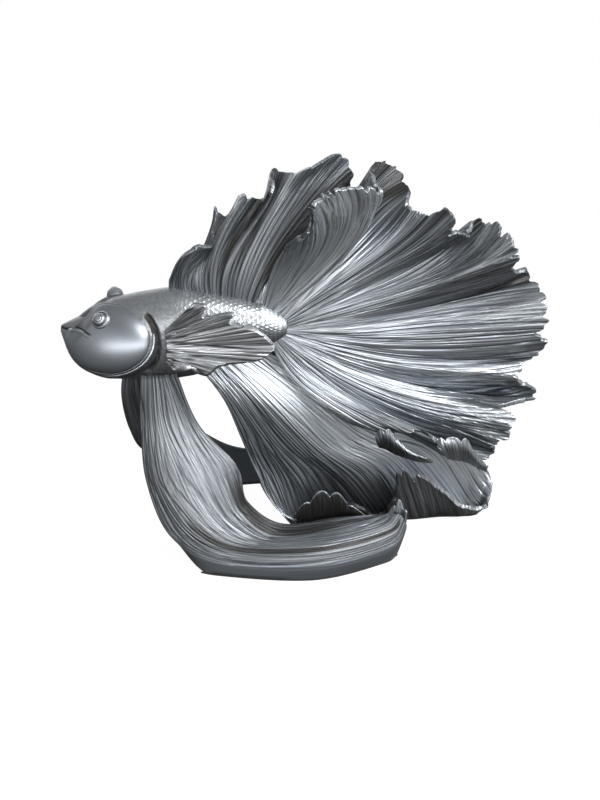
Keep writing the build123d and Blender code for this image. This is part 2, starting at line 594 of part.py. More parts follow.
os.makedirs("parts", exist_ok=True)
left_pelvic, right_pelvic, anal = pelvic_fin(-1), pelvic_fin(1), anal_fin()
pieces = {
    "body_casting": body_casting(),
    "gill_cover_left": gill_cover(-1),
    "gill_cover_right": gill_cover(1),
    "dorsal_fin": dorsal_fin(),
    "tail_fin": tail_fin(),
    "anal_fin": anal,
    "pectoral_fin_left": pectoral_fin(-1),
    "pectoral_fin_right": pectoral_fin(1),
    "pelvic_fin_left": left_pelvic,
    "pelvic_fin_right": right_pelvic,
    "foot_pad_left": foot_pad(left_pelvic),
    "foot_pad_right": foot_pad(right_pelvic),
    "foot_pad_middle": foot_pad(anal),
}
for name, piece in pieces.items():
    export_step(piece, f"parts/{name}.step")
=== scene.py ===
import bpy
import numpy as np
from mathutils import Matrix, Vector


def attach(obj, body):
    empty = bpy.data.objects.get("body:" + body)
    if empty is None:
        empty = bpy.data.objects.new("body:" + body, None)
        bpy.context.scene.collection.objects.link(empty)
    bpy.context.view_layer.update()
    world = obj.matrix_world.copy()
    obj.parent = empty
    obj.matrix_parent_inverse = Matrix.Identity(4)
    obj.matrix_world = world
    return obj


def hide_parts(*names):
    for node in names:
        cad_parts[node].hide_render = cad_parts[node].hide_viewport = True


# Long-finned fish figurine, cast in resin, glued up and painted silver over black.
# Metres, in the frame's axes: the fish swims towards -X and its left side faces -Y.
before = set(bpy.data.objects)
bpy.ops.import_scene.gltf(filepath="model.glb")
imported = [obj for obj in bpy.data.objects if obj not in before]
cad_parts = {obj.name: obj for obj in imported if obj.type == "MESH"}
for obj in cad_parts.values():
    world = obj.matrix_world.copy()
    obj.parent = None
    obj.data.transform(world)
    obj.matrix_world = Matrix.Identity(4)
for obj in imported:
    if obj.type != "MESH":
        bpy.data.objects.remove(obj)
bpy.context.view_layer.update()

# Body casting
# Head core and trunk are one casting, oval from the snout to the blunt end that the tail grows from.
# Its shoulder is pebbled and its flank is carved in overlapping scales; silver is rubbed over black.
BODY_LENGTH = 0.147
BODY_HEIGHT = 0.061
BODY_WIDTH = 0.042
BODY_AXIS_HEIGHT = 0.150
SNOUT_AHEAD = 0.1555
BODY_STEPS = 310
BODY_TURNS = 260
SCALE_PITCH = 0.0048
SCALE_ROW_SHARE = 0.58
SCALE_RADIUS_SHARE = 0.64
SCALE_HEIGHT = 0.00032
PEBBLE_HEIGHT = 0.0003
SCALES_FROM_SHARE = 0.50
SCALES_TO_SHARE = 0.97
SCALES_BLEND_SHARE = 0.12
GIRTH_SHARE = 0.42
PEBBLES_PER_SCALE = 4.6
PATCHES_PER_SCALE = 1.7
ROUGH_PER_SCALE = 2.6
LIPS_WIDTH = 0.0006
MOUTH_DEPTH = 0.0008
# Painted shade: a light from this direction, both sides alike, and the range of facing from shaded to lit
SPRAYED_FROM = np.array([0.35, -0.35, 0.87])
SPRAYED_SHARES = (-0.45, 0.7)
COAT_ROUGHNESS = 0.3
GRAIN_HEIGHT = 0.0004

# Sections: along, rise, half height, half width, aside, as shares of the sizes above
BODY_SECTIONS_SHARES = [
    (0.000, -0.01, 0.045, 0.080, 0.10), (0.020, -0.09, 0.150, 0.170, 0.10),
    (0.065, -0.15, 0.255, 0.300, 0.09), (0.125, -0.15, 0.350, 0.410, 0.07),
    (0.190, -0.13, 0.420, 0.460, 0.05), (0.240, -0.10, 0.455, 0.480, 0.04),
    (0.385, -0.06, 0.490, 0.500, 0.01), (0.510, -0.03, 0.500, 0.490, 0.00),
    (0.635, -0.01, 0.450, 0.430, 0.00), (0.790, 0.04, 0.325, 0.330, 0.00),
    (0.890, 0.06, 0.240, 0.270, 0.00), (0.940, 0.05, 0.180, 0.230, 0.00),
    (0.980, 0.05, 0.120, 0.190, 0.00), (1.000, 0.05, 0.080, 0.150, 0.00),
]


def eased(value, low=0.0, high=1.0):
    """Rises smoothly from 0 at low to 1 at high, level at both ends."""
    t = np.clip((value - low) / (high - low), 0, 1)
    return t * t * (3 - 2 * t)


def between(value, low, top, end, high):
    """Rises smoothly from low to top, and falls again from end to high."""
    return eased(value, low, top) * (1 - eased(value, end, high))


def line_at(value, middle, width):
    """A soft line: 1 at its middle, next to nothing two widths away."""
    return np.exp(-((value - middle) / width)**2)


def chance(column, row, seed):
    """A number from 0 to 1 for each whole column and row: the fraction of a large sine."""
    return np.abs(np.sin(column * 127.1 + row * 311.7 + seed * 74.7) * 43758.5453) % 1


def wander(x, y, seed):
    """Smooth random hills from 0 to 1: chances at whole numbers, eased in between."""
    column, row = np.floor(x), np.floor(y)
    across, up = eased(x - column), eased(y - row)
    near = chance(column, row, seed) * (1 - across) + chance(column + 1, row, seed) * across
    far = chance(column, row + 1, seed) * (1 - across) + chance(column + 1, row + 1, seed) * across
    return near * (1 - up) + far * up


def body_section(along):
    """Middle, half height and half width at a share of the length: cubics through the sections."""
    rows = np.array(BODY_SECTIONS_SHARES)
    index = np.interp(along, rows[:, 0], np.arange(len(rows)))
    rise, tall, wide, aside = np.moveaxis(on_chain(through(rows[:, 1:]), index), -1, 0)
    middle = np.stack([
        along * BODY_LENGTH - SNOUT_AHEAD,
        aside * BODY_WIDTH,
        BODY_AXIS_HEIGHT + rise * BODY_HEIGHT,
    ], -1)
    return middle, tall * BODY_HEIGHT, wide * BODY_WIDTH


def unit(vectors):
    return vectors / np.linalg.norm(vectors, axis=-1, keepdims=True)


def through(points):
    """Control points of the chain of cubic curves that runs smoothly through rows of points."""
    ends = np.concatenate([[2 * points[0] - points[1]], points, [2 * points[-1] - points[-2]]])
    chain = [points[0]]
    for before, start, end, after in zip(ends, ends[1:], ends[2:], ends[3:]):
        chain += [start + (end - before) / 6, end - (after - start) / 6, end]
    return np.array(chain)


def nearby(place, count):
    """Which four of a chain's control points make each point on it, and their weights."""
    curve = np.clip(np.floor(place), 0, (count - 1) // 3 - 1).astype(int)
    t = (place - curve)[..., None]
    weights = np.concatenate([(1 - t)**3, 3 * t * (1 - t)**2, 3 * t**2 * (1 - t), t**3], -1)
    return 3 * curve[..., None] + np.arange(4), weights


def on_chain(chain, place):
    """Points on a chain of cubics: place counts curves from its start."""
    index, weights = nearby(place, len(chain))
    return np.einsum("...w,...wk->...k", weights, chain[index])


def read_all(items, what, width, kind=np.float32):
    """One measure of every item of a collection, in rows."""
    values = np.empty(len(items) * width, kind)
    items.foreach_get(what, values)
    return values.reshape(-1, width)


def face_out(mesh):
    """Turns the faces of a closed mesh over if the volume that they enclose comes out negative."""
    mesh.calc_loop_triangles()
    corners = read_all(mesh.loop_triangles, "vertices", 3, np.int32)
    a, b, c = read_all(mesh.vertices, "co", 3)[corners].transpose(1, 0, 2).astype(float)
    if np.einsum("ij,ij->i", a, np.cross(b, c)).sum() < 0:
        mesh.flip_normals()


def linked(name, data):
    """New object in the scene."""
    thing = bpy.data.objects.new(name, data)
    bpy.context.scene.collection.objects.link(thing)
    return thing


def made(name, points, quads, caps=(), flow=None, **marks):
    """Mesh object from places, four-cornered faces, end caps, a flow map and marks for each place.

    Marks are cut off at 0 and 1. One more mark says how far a place faces a light above and in front,
    with both sides alike; the places that face away from that light get painted shade.
    """
    mesh = bpy.data.meshes.new(name)
    corners = np.concatenate([quads.ravel(), *caps]).astype(np.int32)
    sizes = [4] * len(quads) + [len(cap) for cap in caps]
    mesh.vertices.add(len(points))
    mesh.vertices.foreach_set("co", points.astype(np.float32).ravel())
    mesh.loops.add(len(corners))
    mesh.loops.foreach_set("vertex_index", corners)
    mesh.polygons.add(len(sizes))
    mesh.polygons.foreach_set("loop_start", np.cumsum([0, *sizes])[:-1].astype(np.int32))
    mesh.update(calc_edges=True)
    mesh.shade_smooth()
    face_out(mesh)
    if flow is not None:
        mesh.uv_layers.new(name="flow")
        placed = read_all(mesh.loops, "vertex_index", 1, np.int32)[:, 0]
        places = flow.reshape(-1, 2)[placed].astype(np.float32)
        mesh.uv_layers["flow"].data.foreach_set("uv", places.ravel())
    normals = read_all(mesh.vertex_normals, "vector", 3)
    # How far each place faces the light of the painted shade, with both sides alike
    normals[:, 1] = -np.abs(normals[:, 1])
    marks["sprayed"] = eased(normals @ SPRAYED_FROM, *SPRAYED_SHARES)
    for mark, values in marks.items():
        layer = mesh.attributes.new(mark, "FLOAT", "POINT")
        layer.data.foreach_set("value", np.clip(values, 0, 1).astype(np.float32).ravel())
    return linked(name, mesh)


def cast(piece, paint, node):
    """Paints a piece, which shows in place of a node of the CAD."""
    piece.data.materials.append(paint)
    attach(piece, "root")
    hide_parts(node)


def tube(steps, turns):
    """Grid of places along a tube and of angles round it."""
    return np.meshgrid(steps, np.arange(turns) / turns * 2 * np.pi, indexing="ij")


def tube_faces(steps, turns):
    """Faces and two end caps of a tube whose places run round it, step after step."""
    step, turn = np.meshgrid(np.arange(steps - 1), np.arange(turns), indexing="ij")
    after = (turn + 1) % turns
    quads = np.stack([
        step * turns + turn, step * turns + after,
        (step + 1) * turns + after, (step + 1) * turns + turn,
    ], -1).reshape(-1, 4)
    return quads, [np.arange(turns)[::-1], (steps - 1) * turns + np.arange(turns)]


def fed(node, values):
    """Gives sockets of a node a value each, or a link from a socket of another node."""
    for socket, value in dict(values).items():
        if isinstance(value, bpy.types.NodeSocket):
            node.id_data.links.new(value, node.inputs[socket])
        else:
            node.inputs[socket].default_value = value
    return node


def added(tree, kind, values=()):
    """New node in a tree, fed with the values."""
    return fed(tree.nodes.new(kind), values)


def ranged(tree, value, low, high, to_low, to_high):
    """Node that carries one range of a value on to another."""
    return added(tree, "ShaderNodeMapRange", {
        "Value": value, "From Min": low, "From Max": high, "To Min": to_low, "To Max": to_high})


def blend(tree, share, one, other):
    """Result of a node that mixes two colours."""
    node = tree.nodes.new("ShaderNodeMix")
    node.data_type = "RGBA"
    return fed(node, {0: share, 6: one, 7: other}).outputs[2]


def sum_of(tree, operation, *values):
    """Result of a sum, cut off at 0 and 1."""
    node = tree.nodes.new("ShaderNodeMath")
    node.operation = operation
    node.use_clamp = True
    return fed(node, enumerate(values)).outputs[0]


def rubbed_silver():
    """Group: silver rubbed over black, dark and rough in low places and painted shade, brightest on crests
    and painted highlights; places that face away from the light get painted shade as well.
    """
    group = bpy.data.node_groups.new("rubbed_silver", "ShaderNodeTree")
    for way, kind, labels in (
            ("INPUT", "Color", ("Paint", "Crest Paint", "Wash")),
            ("INPUT", "Float", ("Recess", "Crest", "Sprayed", "Streak", "Grain Size", "Satin")),
            ("OUTPUT", "Color", ("Color",)),
            ("OUTPUT", "Float", ("Roughness", "Metallic", "Height"))):
        for label in labels:
            group.interface.new_socket(label, in_out=way, socket_type=f"NodeSocket{kind}")
    given = group.nodes.new("NodeGroupInput").outputs
    place = group.nodes.new("ShaderNodeTexCoord").outputs["Object"]
    grain = added(group, "ShaderNodeTexNoise", {"Vector": place, "Scale": given["Grain Size"], "Detail": 4})
    streaky = ranged(group, given["Streak"], 0.35, 0.65, -0.18, 0.18).outputs[0]
    # Low places: dark grooves, and painted shade where the marks give it
    low = sum_of(group, "ADD", given["Recess"], streaky)
    # High places: crests, and painted highlights where the marks give them
    high = sum_of(group, "SUBTRACT", given["Crest"], streaky)
    rubbed = blend(group, high, given["Paint"], given["Crest Paint"])
    # Painted shade where a place faces away from the light, mixed towards the dark wash
    unsprayed = ranged(group, given["Sprayed"], 0, 1, 0.85, 0).outputs[0]
    shaded = blend(group, unsprayed, rubbed, given["Wash"])
    rough = ranged(group, low, 0, 1, 0, 0.28).outputs[0]
    added(group, "NodeGroupOutput", {
        "Color": blend(group, low, shaded, given["Wash"]),
        "Roughness": sum_of(group, "ADD", rough, given["Satin"]),
        "Metallic": ranged(group, low, 0, 1, 0.95, 0.3).outputs[0],
        "Height": sum_of(group, "MULTIPLY_ADD", given["Streak"], 0.5, grain.outputs["Fac"]),
    })
    return group


silver_group = rubbed_silver()


def finish(name, values):
    """New material, its node tree and its surface node, fed with the values."""
    material = bpy.data.materials.new(name)
    material.use_nodes = True
    tree = material.node_tree
    return material, tree, fed(tree.nodes["Principled BSDF"], values)


def silver(name, paint, crest_paint, wash, grain_size=900, grain_depth=0.15, streaks=None, satin=0.32,
           coat=0.5):
    """Painted finish of a casting from its marks, with its painted shade and highlights; streaks is how
    fine its combed lines are.
    """
    material, tree, surface = finish(name, {"Coat Weight": coat, "Coat Roughness": COAT_ROUGHNESS})
    paint_work = tree.nodes.new("ShaderNodeGroup")
    paint_work.node_tree = silver_group
    fed(paint_work, {
        "Paint": (*paint, 1), "Crest Paint": (*crest_paint, 1), "Wash": (*wash, 1),
        "Grain Size": grain_size, "Satin": satin, "Streak": 0.5})
    for label in ("Recess", "Crest", "Sprayed"):
        mark = tree.nodes.new("ShaderNodeAttribute")
        mark.attribute_name = label.lower()
        fed(paint_work, {label: mark.outputs["Fac"]})
    if streaks is not None:
        flow = tree.nodes.new("ShaderNodeUVMap")
        flow.uv_map = "flow"
        stretch = added(tree, "ShaderNodeMapping", {"Vector": flow.outputs["UV"], "Scale": (*streaks, 1)})
        lines = tree.nodes.new("ShaderNodeTexNoise")
        lines.noise_dimensions = "2D"
        fed(lines, {"Vector": stretch.outputs["Vector"], "Scale": 1, "Detail": 3})
        fed(paint_work, {"Streak": lines.outputs["Fac"]})
    painted = paint_work.outputs
    bump = added(tree, "ShaderNodeBump", {
        "Strength": grain_depth, "Distance": GRAIN_HEIGHT, "Height": painted["Height"]})
    fed(surface, {
        "Base Color": painted["Color"], "Roughness": painted["Roughness"], "Metallic": painted["Metallic"],
        "Normal": bump.outputs["Normal"]})
    return material


def scales(along, across):
    """Lift of the round scale that shows, and depth inside its edge; rows overlap, shifted by half."""
    lift = np.zeros_like(along)
    inside = np.zeros_like(along)
    first = np.floor(along / SCALE_ROW_SHARE)
    for behind in (2, 1, 0, -1):
        row = first + behind
        shift = (row % 2) / 2
        aside = across - np.floor(across - shift + 0.5) - shift
        ahead = along - row * SCALE_ROW_SHARE
        reach = np.hypot(ahead, aside)
        over = (ahead > -0.25) & (reach < SCALE_RADIUS_SHARE)
        lift = np.where(over, 0.2 + 0.8 * reach / SCALE_RADIUS_SHARE, lift)
        inside = np.where(over, SCALE_RADIUS_SHARE - reach, inside)
    return lift, inside


GILL_LENGTH = 0.057
GILL_HEIGHT = 0.047
GILL_BULGE = 0.0125
GILL_SPREAD = 0.029
GILL_RISE = 0.005
GILL_RIM = 0.0016
GILL_ALONG_SHARE = 0.24
HEAD_TURN = 6.0
GILL_SPLAY = 11.0
GILL_LEAN = 26.0
GAP_DEPTH = 0.0016
MOUTH_HEIGHT = 0.1515
CROWN_ALONG_SHARE = 0.285
# Round a gill cover, of its half size: where the gap beside it starts, is deep, and ends
GAP_SHARES = (1.04, 1.08, 1.17, 1.24)


def head_axes(side):
    """Outward, seat normal, forward and upward directions of the turned head; left is -1, right is 1."""
    turn, splay, lean = np.radians([HEAD_TURN, GILL_SPLAY, GILL_LEAN])
    forward = np.array([-np.cos(turn), np.sin(turn), 0])
    aside = side * np.array([np.sin(turn), np.cos(turn), 0])
    facing = np.cos(splay) * aside + np.sin(splay) * forward
    normal = np.cos(lean) * facing + np.array([0, 0, np.sin(lean)])
    ahead = forward - normal * (forward @ normal)
    ahead = unit(ahead * [1, 1, 0])
    upward = np.cross(normal, ahead)
    return aside, normal, ahead, upward * np.sign(upward[2])


def gill_seat(side):
    middle = body_section(GILL_ALONG_SHARE)[0]
    return middle + head_axes(side)[0] * GILL_SPREAD / 2 + np.array([0, 0, GILL_RISE])


def behind_gill(places):
    """How far out each place is from the middle of its gill cover, and how far to the cover's rear."""
    reach = np.full(places.shape[:-1], 9.0)
    rear = np.zeros(places.shape[:-1])
    for side in (-1, 1):
        aside, normal, ahead, upward = head_axes(side)
        seen = places - gill_seat(side)
        along, up = seen @ ahead / GILL_LENGTH * 2, seen @ upward / GILL_HEIGHT * 2
        here = (places[..., 1] - body_section(GILL_ALONG_SHARE)[0][1]) * side > 0
        reach = np.where(here, np.hypot(along, up), reach)
        rear = np.where(here, eased(-along / np.hypot(along, up), 0.68, 0.82), rear)
    return reach, rear


steps, turns = tube(np.linspace(0, 1, BODY_STEPS), BODY_TURNS)
middle, tall, wide = body_section(steps)
outward = np.stack([np.zeros_like(steps), np.cos(turns), np.sin(turns)], -1)
skin = middle + outward * np.stack([np.zeros_like(steps), wide, tall], -1)
length_way = steps * BODY_LENGTH / SCALE_PITCH
round_way = (turns - np.pi / 2) * BODY_HEIGHT * GIRTH_SHARE / SCALE_PITCH


def body_hills(per_scale, seed):
    """Smooth random hills on the body, so many for each scale."""
    return wander(length_way * per_scale, round_way * per_scale, seed)


scale_lift, scale_inside = scales(length_way, round_way)
scaled = between(steps, SCALES_FROM_SHARE, SCALES_FROM_SHARE + SCALES_BLEND_SHARE, SCALES_TO_SHARE, 1)
pebbles = body_hills(PEBBLES_PER_SCALE, 3) * (0.5 + 0.5 * body_hills(PATCHES_PER_SCALE, 4))
pebbled = eased(steps, 0.22, 0.4) * (1 - scaled)
reach, rear = behind_gill(skin)
gap = between(reach, *GAP_SHARES) * rear
rough = body_hills(ROUGH_PER_SCALE, 8)
lips = eased(-steps, -0.11, -0.08) * line_at(skin[..., 2], MOUTH_HEIGHT, LIPS_WIDTH)
lift = (
    SCALE_HEIGHT * scale_lift * scaled + PEBBLE_HEIGHT * pebbles * pebbled
    - GAP_DEPTH * gap * (0.9 + 0.25 * rough) - MOUTH_DEPTH * lips)
skin = skin + outward * lift[..., None]

# The ridge of the snout is raised to a straight line from its tip to the crown
tops = (middle[..., 2] + tall)[:, 0]
crown = np.searchsorted(steps[:, 0], CROWN_ALONG_SHARE)
chord = np.interp(steps[:, 0], (0, CROWN_ALONG_SHARE), tops[[0, crown]])
brow_rise = np.where(steps[:, 0] < CROWN_ALONG_SHARE, np.maximum(chord - tops, 0), 0)
skin[..., 2] += brow_rise[:, None] * eased(np.sin(turns), 0.1, 0.9)

# Dark in the grooves of scales and pebbles, in the gap and the mouth; painted shade over the top of the front
# half
body_recess = (
    scaled * (1 - eased(scale_inside, 0.02, 0.13)) * 0.55 + pebbled * (1 - eased(pebbles, 0.02, 0.2)) * 0.15
    + gap * (1.1 - 0.35 * rough) + lips
    + 0.45 * eased(np.sin(turns), 0.0, 0.7) * (1 - eased(steps, 0.45, 0.62)))
body_crest = (
    scaled * eased(scale_inside, 0.05, 0.3) * 0.55 + pebbled * eased(pebbles, 0.3, 0.7) * 0.22
    + (1 - scaled) * (1 - gap) * 0.2)
cast(
    made(
        "body", skin.reshape(-1, 3), *tube_faces(BODY_STEPS, BODY_TURNS), recess=body_recess,
        crest=body_crest),
    silver(
        "body_paint", paint=(0.38, 0.405, 0.43), crest_paint=(0.80, 0.83, 0.86), wash=(0.014, 0.014, 0.013)),
    "body_casting")

# Gill covers
# Each is a smooth domed casting with a thin raised rim and the eye in one, let into the side of the head.
# The mouth is cut in it under a shallow hollow of the cheek, darkened by painted shade, and a rough
# dark gap lies behind its rear edge.
BROW_SLOPE = 24.0
BROW_BLEND = 0.004
BROW_LIFT = 0.012
REAR_STRETCH_SHARE = 0.06
RIM_HEIGHT = 0.0012
RIM_WIDTH_SHARE = 0.034
LEFT_EYE_RADIUS = 0.0056
RIGHT_EYE_RADIUS = 0.0046
EYE_BULGE = 0.0036
LEFT_EYE_ALONG_SHARE = 0.222
RIGHT_EYE_ALONG_SHARE = 0.245
LEFT_EYE_OUT = 0.0175
RIGHT_EYE_OUT = 0.009
LEFT_EYE_STAND = 0.0
RIGHT_EYE_STAND = 0.0020
CHEEK_DEPTH = 0.0003
LIP_HEIGHT = 0.0003
CREASE_DEPTH = 0.0007
COVER_TURNS = 260
EYE_STEPS = 80
EYE_TURNS = 120
EYE_SIDE = 0.005
EYE_BALL_SHARE = 0.84
EYE_GROOVE_DEPTH = 0.0006
LID_HEIGHT = 0.0008
# How much more an eye looks out with its cover than up with the brow
EYE_OUTWARD = 1.6
# Parts of a cover's half size: the groove inside its rim, where its skirt starts, and where that ends
CREASE_SHARE = 0.952
CREASE_WIDTH_SHARE = 0.012
SKIRT_FROM_SHARE = 1.02
SKIRT_SHARE = 1.057
SKIRT_DROP = 0.004
# Lines on the cover: forward and up, of half its length and height
MOUTH_SHARES = (
    (0.27, 0.03), (0.36, 0.07), (0.47, 0.13), (0.57, 0.17), (0.73, 0.205), (0.85, 0.215), (1.12, 0.205))
CHEEK_SHARES = ((0.23, 0.02), (0.38, 0.13), (0.57, 0.27), (0.78, 0.38), (1.0, 0.46), (1.12, 0.5))


def brow_plane(side, along, out):
    """A place on the plane that slopes from the ridge of the head down to one side, and its normal."""
    ends = np.array([0, CROWN_ALONG_SHARE])
    middle, tall, wide = body_section(ends)
    snout, crown = middle + np.stack([0 * tall, 0 * tall, tall], -1)
    slope = np.radians(BROW_SLOPE)
    down = np.cos(slope) * head_axes(side)[0] - np.sin(slope) * np.array([0, 0, 1])
    facing = np.cross(unit(snout - crown), down)
    facing = facing * np.sign(facing[2])
    return snout + (crown - snout) * (along / CROWN_ALONG_SHARE) + down * out / np.cos(slope), facing


def soft_least(one, other, width):
    """The lower of two heights, rounded where they cross."""
    t = np.clip(0.5 + 0.5 * (other - one) / width, 0, 1)
    return other * (1 - t) + one * t - width * t * (1 - t)


def eye_grooves(t):
    """The groove between ball and lid, and a finer one round the pupil."""
    return line_at(t, 0.77, 0.06) + 0.5 * line_at(t, 0.44, 0.06)


def eye_height(t):
    """Profile of the eye at a share of its radius: ball, pupil, lid and the grooves between them."""
    ball = np.sqrt(np.clip(1 - (t / EYE_BALL_SHARE)**2, 0, 1)) * EYE_BULGE
    return ball + LID_HEIGHT * line_at(t, 0.94, 0.10) - EYE_GROOVE_DEPTH * eye_grooves(t)


def eye(name, place, facing, radius, stand):
    """Round eye in one with its cover: a turned profile with a rounded side that goes down into the cover."""
    t, turns = tube(np.linspace(0.01, 1.3, EYE_STEPS), EYE_TURNS)
    ahead = unit(np.cross([0, 1, 0], facing))
    aside = np.cross(facing, ahead)
    outward = ahead * np.cos(turns)[..., None] + aside * np.sin(turns)[..., None]
    round_side = np.clip((t - 1) / 0.3, 0, 1) * np.pi / 2
    height = eye_height(np.minimum(t, 1.1)) + stand - EYE_SIDE * (1 - np.cos(round_side))
    wide = np.minimum(t, 1) + 0.22 * np.sin(round_side)
    points = place + outward * (wide * radius)[..., None] + facing * height[..., None]
    # Dark in its grooves, and painted shade down its rounded side into the cover
    dark = 0.6 * eye_grooves(t) + 0.3 * eased(t, 1.1, 1.3)
    return made(
        name, points.reshape(-1, 3), *tube_faces(EYE_STEPS, EYE_TURNS), recess=dark,
        crest=0.5 - np.clip(dark, 0, 1))


gill_paint = silver(
    "gill_paint", paint=(0.30, 0.33, 0.37), crest_paint=(0.80, 0.83, 0.86), wash=(0.012, 0.012, 0.012),
    grain_size=700, grain_depth=0.06, satin=0.36, coat=0.15)
# Rings round a cover, closer towards its edge and closest over its rim and skirt
rings = np.concatenate([
    np.sin(np.linspace(0.002, 1.2, 120)), np.linspace(0.936, SKIRT_SHARE - 0.001, 34), [SKIRT_SHARE]])
for side, name, eye_along, eye_out, *eye_size in (
        (-1, "left", LEFT_EYE_ALONG_SHARE, LEFT_EYE_OUT, LEFT_EYE_RADIUS, LEFT_EYE_STAND),
        (1, "right", RIGHT_EYE_ALONG_SHARE, RIGHT_EYE_OUT, RIGHT_EYE_RADIUS, RIGHT_EYE_STAND)):
    aside, normal, ahead, upward = head_axes(side)
    ring, turns = tube(rings, COVER_TURNS)
    along, up = ring * np.cos(turns), ring * np.sin(turns)
    ahead_by = along * (1 + REAR_STRETCH_SHARE * eased(-along, 0, 1)) * GILL_LENGTH / 2
    place = gill_seat(side) + ahead * ahead_by[..., None] + upward * (up * GILL_HEIGHT / 2)[..., None]
    chin = np.maximum(eased(along, -0.15, 0.6) * eased(-up, -0.6, 0.0), eased(along, 0.7, 0.92))
    dome = GILL_BULGE * np.sqrt(np.clip(1 - (ring / (1 + 0.058 * chin))**2, 0, 1))
    rim = RIM_HEIGHT * np.sqrt(np.clip(1 - ((ring - 1) / RIM_WIDTH_SHARE)**2, 0, 1)) * (1 - 0.8 * chin)
    crease = line_at(ring, CREASE_SHARE, CREASE_WIDTH_SHARE) * (1 - 0.85 * chin)
    skirt = eased(ring, SKIRT_FROM_SHARE, SKIRT_SHARE)**2
    height = np.maximum(dome, rim) - CREASE_DEPTH * crease - SKIRT_DROP * skirt
    brow, facing = brow_plane(side, 0, 0)
    cut = (brow - place) @ facing / (normal @ facing) + BROW_LIFT * (1 - eased(along, -0.1, 0.9))
    height = soft_least(height, cut, BROW_BLEND)
    mouth = np.interp(along, *np.transpose(MOUTH_SHARES))
    cheek = np.interp(along, *np.transpose(CHEEK_SHARES))
    wedge = eased(along, 0.22, 0.34) * eased(cheek - up, -0.1, 0.25) * eased(up - mouth, -0.03, 0.1)
    slit = eased(along, 0.24, 0.36) * line_at(up - mouth, 0, 0.02)
    lip = eased(along, 0.2, 0.35) * line_at(up - mouth, -0.07, 0.03)
    height = height - CHEEK_DEPTH * wedge - MOUTH_DEPTH * slit + LIP_HEIGHT * lip
    surface = place + normal * height[..., None]
    spot, eye_facing = brow_plane(side, eye_along, eye_out)
    seen = surface - spot
    distance = np.linalg.norm(seen - (seen @ eye_facing)[..., None] * eye_facing, axis=-1)
    under = np.unravel_index(distance.argmin(), distance.shape)
    eye_facing = unit(eye_facing + normal * EYE_OUTWARD)
    surface[-1] = surface[-1] - normal * SKIRT_DROP
    # Painted shade on the cheek's hollow, the brow, the cover's upper part and its skirt; a painted highlight
    # on the lower lip
    rim_tops = between(ring, 0.97, 0.985, 1.01, 1.03) * (1 - chin)
    brow_dark = np.maximum(
        eased(dome - height, 0.0, 0.004) * eased(ring, 0, 0.3) * (ring < 0.93), 0.5 * eased(up, 0.35, 0.8))
    cover = made(
        f"gill_cover_{name}_shell", surface.reshape(-1, 3), *tube_faces(len(rings), COVER_TURNS),
        recess=0.5 * crease + 0.5 * wedge + slit + 0.6 * brow_dark + 0.3 * eased(ring, 1.02, 1.04),
        crest=0.1 + 0.35 * rim_tops + 0.3 * lip)
    for piece in (cover, eye(f"eye_{name}", surface[under], eye_facing, *eye_size)):
        cast(piece, gill_paint, f"gill_cover_{name}")

# Tail fin
# One wide pleated fan, carved in combed strands that fork as they spread, with a torn, curled rim.
# It is cast solid, 3 to 5 mm thick, and its tongue is glued into the end of the trunk.
FIN_ROOT_THICKNESS = 0.005
FIN_RIM_THICKNESS = 0.003
RAY_LEAD_SHARE = 0.36
RAY_FOLLOW_SHARE = 0.30
TAIL_REACH = 0.174
TAIL_ROOT_SPREAD = 0.024
TAIL_ROOT_SAG_ABOVE = 0.016
TAIL_ROOT_SAG_BELOW = 0.010
TAIL_TONGUE = 0.016
TAIL_TONGUE_SLANT = 0.003
TAIL_TONGUE_SPREAD = 0.016
TAIL_LEAN_SHARE = 0.35
TAIL_PLEAT_DEPTH = 0.0032
STRAND_PITCH = 0.0030
STRAND_DEPTH = 0.0013
TORN_SHARE = 0.03
# Dark wash of the fins, also the colour of their painted shade
FIN_WASH = (0.012, 0.0115, 0.010)

# Rays: tip along, up and aside, as shares of the reach; then the direction at the root and the tip
TAIL_TIPS_SHARES = [
    (0.02, 0.33, -0.08), (0.09, 0.41, -0.16), (0.07, 0.51, -0.21), (0.14, 0.54, -0.15),
    (0.23, 0.56, -0.09), (0.33, 0.55, -0.02), (0.30, 0.56, 0.14), (0.37, 0.57, 0.24),
    (0.44, 0.51, 0.20), (0.45, 0.46, 0.01), (0.52, 0.44, -0.05), (0.57, 0.47, -0.07),
    (0.64, 0.37, -0.02), (0.71, 0.36, 0.13), (0.76, 0.38, 0.07), (0.82, 0.36, -0.06),
    (0.84, 0.30, -0.09), (0.92, 0.17, 0.10), (0.96, 0.11, 0.03), (0.99, 0.00, -0.05),
    (0.95, -0.12, 0.02), (0.90, -0.20, -0.03), (1.00, -0.34, 0.10), (0.87, -0.32, -0.03),
    (0.87, -0.38, -0.09), (0.83, -0.46, -0.05), (0.80, -0.58, 0.01), (0.67, -0.50, -0.09),
    (0.57, -0.38, -0.15), (0.46, -0.38, -0.13), (0.34, -0.43, -0.06),
]
TAIL_TURNS = [
    (80, 40), (72, 45), (63, 112), (48, 112), (44, 104), (40, 92), (48, 60), (47, 44),
    (44, 16), (40, 60), (36, 50), (33, 54), (30, 28), (27, 30), (24, 56), (20, 46),
    (14, 26), (8, 18), (0, 4), (-12, 6), (-19, 8), (-26, -2), (-31, -2), (-35, -4),
    (-38, -8), (-42, -14), (-47, -20), (-52, -16), (-59, -4), (-67, -14), (-76, -24),
]
